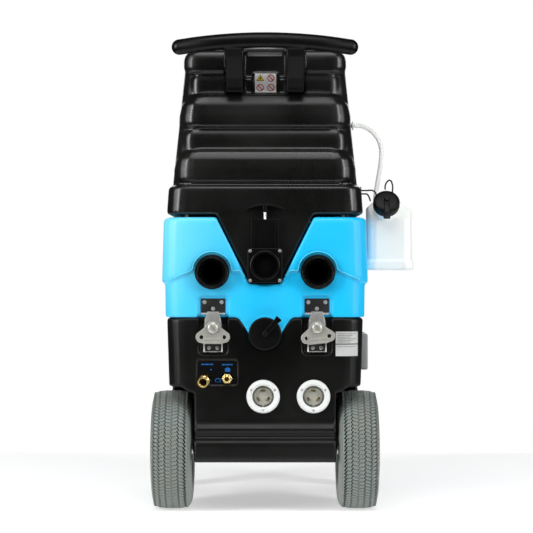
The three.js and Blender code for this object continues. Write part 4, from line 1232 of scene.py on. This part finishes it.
# sticker in the recess: a warning triangle and three plain rings
sticker = {
    "low": (-22, 917.5), "high": (24.5, 959), "icons": ((-10.5, 949), (13, 949), (-10.5, 928), (13, 928))
}
sheet = drapedSheet("recessSticker", machineTank, sticker["low"], sticker["high"], 0.15, 0.3)
fit(sheet, stickerWhite, "machine", "black_polyethylene")
signRed = smoothPlastic("signRed", (0.55, 0.02, 0.03), 0.4)
signYellow = smoothPlastic("signYellow", (0.85, 0.6, 0.02), 0.4)
stickerFace = rearFace(machineTank, 1, 938) - 0.5
x, z = sticker["icons"][0]
triangle = [(x - 8.4, z - 6.4), (x + 8.4, z - 6.4), (x, z + 8)]
markPiece("signTriangle", [triangle], blackNylon, slot="black_polyethylene", face=stickerFace, lift=0.3)
inner = [(x - 6.6, z - 5.3), (x + 6.6, z - 5.3), (x, z + 6)]
markPiece("signTriangleField", [inner], signYellow, slot="black_polyethylene", face=stickerFace, lift=0.5)
markPiece(
    "signDot", [roundedBox((x - 1.3, z - 3.6), (x + 1.3, z + 1.6), 1.1, 3)], blackNylon,
    slot="black_polyethylene", face=stickerFace, lift=0.65
)
rings = []
for x, z in sticker["icons"][1:]:
    hoop = [(6.2, -0.35), (8, -0.35), (8, 0.1), (6.2, 0.1), (6.2, -0.35)]
    ring = turned("signRing", (x, stickerFace, z), "y", hoop, 40)
    slant = [(x - 5.4, z + 4), (x - 4, z + 5.4), (x + 5.4, z - 4), (x + 4, z - 5.4)]
    bar = slab("signBar", slant, stickerFace - 0.35, stickerFace + 0.1)
    rings += [ring, bar]
fit(weld("signRings", *rings), signRed, "machine", "black_polyethylene")
band = drapedSheet("recessBand", machineTank, (-38, 999), (38, 1008), 0.15, 0.3, 30, 6)
fit(band, bandGrey, "machine", "black_polyethylene")
for name, foot, lean in (("mouldLineLeft", -101, 11), ("mouldLineRight", 106, -20)):
    seam = drapedSheet(name, machineTank, (foot, 722), (foot + 1.5, 906), 0.02, 0.4, 2, 110, lean)
    fit(seam, blackTank, "machine", "black_polyethylene")

# the edge of the solution tank's shoulder: out from the keel, over the socket and down to the corner, a bead
# whose paler blue is a painted highlight along the edge
blueBody = bpy.data.objects["solutionTank"]
edgeLine = [(44, 513.6), (48.6, 519.6), (53.4, 524.6), (62, 525.6), (71.2, 525.7)]
edgeLine += arcPoints(port["x"], port["z"], 42.6, 172, 8, 14)
edgeLine += [(160, 525.4), (172, 520.4), (186, 514.4), (198, 509.4), (206, 506)]
for side, hand in ((-1, "Left"), (1, "Right")):
    knots = [(side * x, rearFace(blueBody, side * x, z + 2) - 0.1, z + 1) for x, z in edgeLine]
    ridge = asMesh(tubeAlong(f"shoulderEdge{hand}", knots, 1.1, 8, 4))
    fit(smoothShade(ridge, 40), paintedHighlightBlue, "machine", "blue_polyethylene")

# jug, cap, hanger
jug = {
    "voxel": 1.65, "quickVoxel": 2.4, "passes": 4, "keep": 0.5, "neckFoot": (269, 12, 662), "neckTilt": 35,
    "capRibs": 30,
}
voxel = jug["voxel"]
jugBody = softMoulding("jug", "jug", voxel, jug["keep"], jug["passes"])
fit(jugBody, glowingNaturalPlastic, "jug_hung", "natural_hdpe", "jug")


def onNeck(piece):
    # pieces are made upright at the neck's foot, then tipped toward the operator
    return turnAbout(piece, jug["neckFoot"], "X", 90 - jug["neckTilt"])


def jugCapPiece():
    foot = jug["neckFoot"]
    cup = turned("cup", foot, "z", [
        (0, 34.5), (20, 34.7), (24.5, 34), (27.6, 32.4), (29, 29.6), (29, 12), (28.4, 10.6), (24.4, 10.5),
        (24, 11.4), (24, 31), (0, 31),
    ], 72)
    nub = turned("nub", foot, "z", [(0, 33), (6.4, 34), (5, 35.4), (4.6, 39.6), (3.8, 40.5), (0, 40.5)], 28)
    ribs = []
    for index in range(jug["capRibs"]):
        turn = math.tau * index / jug["capRibs"]
        x, y = foot[0] + 28.8 * math.cos(turn), foot[1] + 28.8 * math.sin(turn)
        ribs.append(turned("rib", (x, y, foot[2]), "z", [(0, 12.5), (0.9, 13.2), (0.9, 28.4), (0, 29.2)], 8))
    x, y, z = foot
    strap = block("strap", (x - 6, y - 36, z + 34.3), (x + 6, y + 4, z + 37.7))
    tab = block("tab", (x - 7.5, y - 37.5, z + 15), (x + 7.5, y - 30.5, z + 37))
    for part in (strap, tab):
        roundEdges(part, 1.2, 3)
    return smoothShade(onNeck(weld("jugCap", cup, nub, strap, tab, *ribs)), 35)


fit(jugCapPiece(), blackNylon, "jug_closure", "black_nylon", "jug_cap")


# bends are (across, up) in the plane square to y
hanger = {
    "wireRadius": 1.75, "longY": 56.6, "shortY": 84.6,
    "long": [
        (214, 706), (228, 706), (242, 706), (248, 702), (252, 692), (258, 688), (268, 688), (279, 688),
        (284, 692), (287, 706), (286, 722), (281, 729), (273, 723), (270.5, 716), (270.5, 708),
    ],
    "short": [(214, 699.5), (224, 699.5), (231, 699), (235, 694), (239, 683)],
}


def hangerPiece():
    wires = []
    for y, bends in ((hanger["longY"], hanger["long"]), (hanger["shortY"], hanger["short"])):
        line = [(x, y, z) for x, z in bends]
        wires.append(asMesh(tubeAlong("wire", line, hanger["wireRadius"], 8, 6)))
    plate = slab("hangerPlate", roundedBox((46.6, 690), (94.6, 714), 4), 213.7, 216.4, "x")
    roundEdges(plate, 0.6, 2)
    return smoothShade(weld("wireHanger", plate, *wires), 40)


fit(hangerPiece(), blackSteel, "machine", "black_steel", "wire_hanger")
# the siphon's elbow stands where the tube starts
elbowPlace = (0, siphon["depth"], 853)
elbow = turned("siphonElbow", elbowPlace, "x", [
    (0, 182), (4.8, 182), (4.8, 196.2), (8.5, 196.2), (8.5, 199), (5.6, 199.4), (3.6, 199.8), (4.6, 201),
    (3.8, 203), (0, 203),
], 40)
fit(smoothShade(elbow), whiteNylon, "machine", "white_nylon", "siphon_elbow")
grommetProfile = [(5.2, 196.4), (9.6, 196.4), (9.6, 198.6), (8.7, 199.6), (5.2, 199.6), (5.2, 196.4)]
grommet = turned("siphonGrommet", elbowPlace, "x", grommetProfile, 40)
fit(smoothShade(grommet), whiteNylon, "machine", "white_nylon")
print("vent, jug and hanger made")

# lid, standpipe, float
lidPlace = {"y": 335, "top": 915, "hingeY": 198}
top = lidPlace["top"]
dome = turned("lidDome", (0, lidPlace["y"], 0), "z", [
    (0, top + 28.6), (26, top + 27.6), (50, top + 23.6), (74, top + 15), (92, top + 6), (97, top + 4.4),
    (116, top + 4.4), (116, top - 10), (117.4, top - 11), (122.6, top - 11), (124, top - 9.6),
    (125, top + 1), (123.6, top + 3.6), (113, top + 9.6), (97, top + 11), (80, top + 20.6),
    (62, top + 26.4), (46, top + 29.2), (24, top + 31.4), (0, top + 32),
], 96)
fit(smoothShade(dome, 30), clearDome, "lid_leaf", "clear_lid", "lid")
hinge = lidPlace["hingeY"]
hingeSide = [
    (hinge, top - 6), (hinge + 6, top - 5), (hinge + 19, top - 3), (hinge + 19, top + 5),
    (hinge + 9, top + 6), (hinge, top + 6), (hinge - 5, top + 4), (hinge - 6, top), (hinge - 5, top - 4),
]
arm = slab("lidHinge", hingeSide, -16, 16, "x")
pin = turned("lidPin", (0, hinge, top), "x", [(0, -29.5), (3.9, -29.5), (3.9, 29.5), (0, 29.5)], 24)
fit(smoothShade(weld("lidHinge", roundEdges(arm, 1, 2), pin)), blackNylon, "lid_leaf", "clear_lid")
gasket = turned("lidGasket", (0, lidPlace["y"], 0), "z", [
    (101, top + 0.5), (111, top + 0.5), (111, top + 2.6), (109, top + 3.8), (103, top + 3.8),
    (101, top + 2.6), (101, top + 0.5),
], 96)
fit(smoothShade(gasket), blackRubber, "machine", "black_rubber", "lid_gasket")

stack = {"y": 45, "windowLow": 915, "windowHigh": 950}
pipe = turned("standpipe", (0, stack["y"], 0), "z", [
    (24, 300), (27, 300), (27, 832), (32, 832), (33, 833), (33, 838), (32, 839), (27, 839), (27, 963),
    (25.6, 965), (0, 965), (0, 961), (24, 961), (24, 300),
], 64)
for halfX, halfY in ((9, 40), (40, 9)):
    low = (-halfX, stack["y"] - halfY, stack["windowLow"])
    high = (halfX, stack["y"] + halfY, stack["windowHigh"])
    carve(pipe, block("window", low, high))
fit(smoothShade(pipe), whiteNylon, "machine", "white_nylon", "standpipe")
floatRing = turned("shutoffFloat", (0, stack["y"], 0), "z", [
    (27.8, 841), (30, 839.4), (39, 839.4), (42, 842.4), (42, 860), (40.8, 862), (40.8, 866), (42, 868),
    (42, 886.4), (39, 889.4), (30, 889.4), (27.8, 887.6), (27.8, 841),
], 64)
fit(smoothShade(floatRing), whiteNylon, "float_ring", "white_nylon", "shutoff_float")

# motors and pump
vacMotor = {
    "aside": 100, "y": 350,
    "profile": [
        (0, 138.5), (60, 138.5), (66, 139.4), (72, 146), (72, 150), (70, 152), (70, 176), (72, 178),
        (72, 182), (68, 186), (52, 194), (52, 214), (50.4, 216), (50.4, 240), (52, 242), (52, 258),
        (48, 263), (22, 270), (20, 272), (20, 282), (18, 284), (0, 284),
    ],
}
for side, hand in ((-1, "left"), (1, "right")):
    middle = (side * vacMotor["aside"], vacMotor["y"], 0)
    shell = turned(f"{hand}VacMotor", middle, "z", vacMotor["profile"], 64)
    fit(smoothShade(shell, 30), blackSteel, "machine", "motor_shell", f"vac_motor_{hand}")
pump = {"floor": 118, "shaft": 163, "headTop": 206, "valves": (-24, 0, 24)}


def pumpPiece():
    head = roundEdges(block("pumpHead", (-44, 30, pump["floor"]), (44, 100, pump["headTop"])), 5, 4)
    body = turned("pumpMotor", (0, 0, pump["shaft"]), "y", [
        (0, 98), (42, 98), (42, 104), (40.6, 105), (40.6, 150), (42, 152), (42, 166), (38, 171), (0, 172),
    ], 56)
    foot = roundEdges(block("pumpFoot", (-30, 95, pump["floor"]), (30, 172, pump["floor"] + 8)), 1.5, 2)
    caps = [
        turned("valveCap", (x, 65, 0), "z", [(0, 200), (11, 200), (11, 205.6), (0, 205.9)], 24)
        for x in pump["valves"]
    ]
    return smoothShade(weld("pump", head, body, foot, *caps), 35)


fit(pumpPiece(), blackSteel, "machine", "motor_shell", "pump")
print("tank fittings and motors made")

# front panel
controls = {
    "switches": {"vac_one": -92, "vac_two": -55, "pump": -18}, "z": 350, "gauge": 42, "knob": 92,
    "back": 560.4, "front": 566
}


def switchPanelPiece():
    board = slab("switchPanel", roundedBox((-125, 304), (125, 396), 5), controls["back"], controls["front"])
    for x in controls["switches"].values():
        carve(board, block("switchHole", (x - 10.5, 550, 335), (x + 10.5, 580, 365)))
    carve(board, slab("gaugeHole", arcPoints(controls["gauge"], controls["z"], 20.5, 0, 352, 44), 550, 580))
    carve(board, slab("knobHole", arcPoints(controls["knob"], controls["z"], 5, 0, 345, 23), 550, 580))
    roundEdges(board, 0.7, 3, 40)
    frames = []
    for x in controls["switches"].values():
        ring = slab("bezel", roundedBox((x - 13, 332.4), (x + 13, 367.6), 2), 565.8, 567.4)
        carve(ring, block("bezelHole", (x - 10.4, 560, 334.9), (x + 10.4, 580, 365.1)))
        frames.append(roundEdges(ring, 0.4, 2, 40))
    return smoothShade(weld("switchPanel", board, *frames), 35)


fit(switchPanelPiece(), blackGloss, "machine", "black_nylon", "switch_panel")
rockerSide = [
    (555, 342), (566.4, 337.5), (569.6, 337.9), (570.5, 339), (569, 345), (568.2, 350), (569, 355),
    (570.5, 361), (569.6, 362.1), (566.4, 362.5), (555, 358)
]
for name, x in controls["switches"].items():
    rocker = roundEdges(slab(f"switch_{name}", rockerSide, x - 9.8, x + 9.8, "x"), 0.6, 3, 25)
    fit(smoothShade(rocker, 30), redNylon, f"rocker_{name}", "red_nylon", f"switch_{name}")
for index, (x, z) in enumerate(((-117, 388), (117, 388), (-117, 312), (117, 312))):
    fit(
        screwHead(f"panelScrew{index + 1}", (x, 566, z), "y", 3.4, 1.4, 1), zincSteel, "machine", "zinc_steel"
    )

dialX, dialZ = controls["gauge"], controls["z"]
gaugeCase = turned("gauge", (dialX, 0, dialZ), "y", [
    (0, 535), (20, 535), (20, 566.4), (26, 566.4), (27, 567.4), (27, 575.4), (25.6, 577), (23.8, 577),
    (23, 576), (23, 571), (0, 571),
], 72)
fit(smoothShade(gaugeCase), zincSteel, "machine", "zinc_steel", "gauge")
dialDisc = [(0, 571.05), (22.8, 571.05), (22.8, 571.5), (0, 571.5)]
dial = turned("gaugeDial", (dialX, 0, dialZ), "y", dialDisc, 64)
fit(dial, stickerWhite, "machine", "zinc_steel")
ticks = []
for index in range(10):
    turn = math.radians(225 - 30 * index)
    middle = (dialX + 19 * math.cos(turn), 571.5, dialZ + 19 * math.sin(turn))
    low, high = (middle[0] - 2.2, middle[2] - 0.5), (middle[0] + 2.2, middle[2] + 0.5)
    tick = slab("tick", roundedBox(low, high, 0.3, 2), 571.45, 571.65)
    ticks.append(turnAbout(tick, middle, "Y", -math.degrees(turn)))
fit(weld("gaugeTicks", *ticks), blackNylon, "machine", "black_nylon")
needleHalf = [(0.5, 16.4), (1.2, 9), (2, 2), (2.6, -3), (3.2, -9)]
needleOutline = [(dialX + u, dialZ + v) for u, v in needleHalf]
needleOutline += [(dialX - u, dialZ + v) for u, v in reversed(needleHalf)]
needle = turnAbout(slab("gaugeNeedle", needleOutline, 572, 573.2), (dialX, 0, dialZ), "Y", 135)
fit(roundEdges(needle, 0.2, 2), redNylon, "needle", "red_nylon", "gauge_needle")
glassDisc = [(0, 574.6), (22.9, 574.6), (22.9, 575.8), (0, 575.8)]
glass = turned("gaugeGlass", (dialX, 0, dialZ), "y", glassDisc, 64)
fit(glass, clearDome, "machine", "clear_lid")


def knobPiece():
    x, z = controls["knob"], controls["z"]
    skirt = turned("knobSkirt", (x, 0, z), "y", [
        (0, 566.6), (15, 566.6), (16, 567.4), (16, 569), (14.4, 571), (0, 571.4),
    ], 56)
    shaft = turned("knobShaft", (x, 0, z), "y", [(0, 541), (4.5, 541), (4.5, 568), (0, 568)], 28)
    grip = slab("knobGrip", roundedBox((x - 4, z - 15), (x + 4, z + 15), 3), 570, 586)
    return smoothShade(weld("regulatorKnob", roundEdges(grip, 1.2, 3, 40), skirt, shaft), 35)


fit(knobPiece(), blackNylon, "regulator", "black_nylon", "regulator_knob")
print("front panel made")
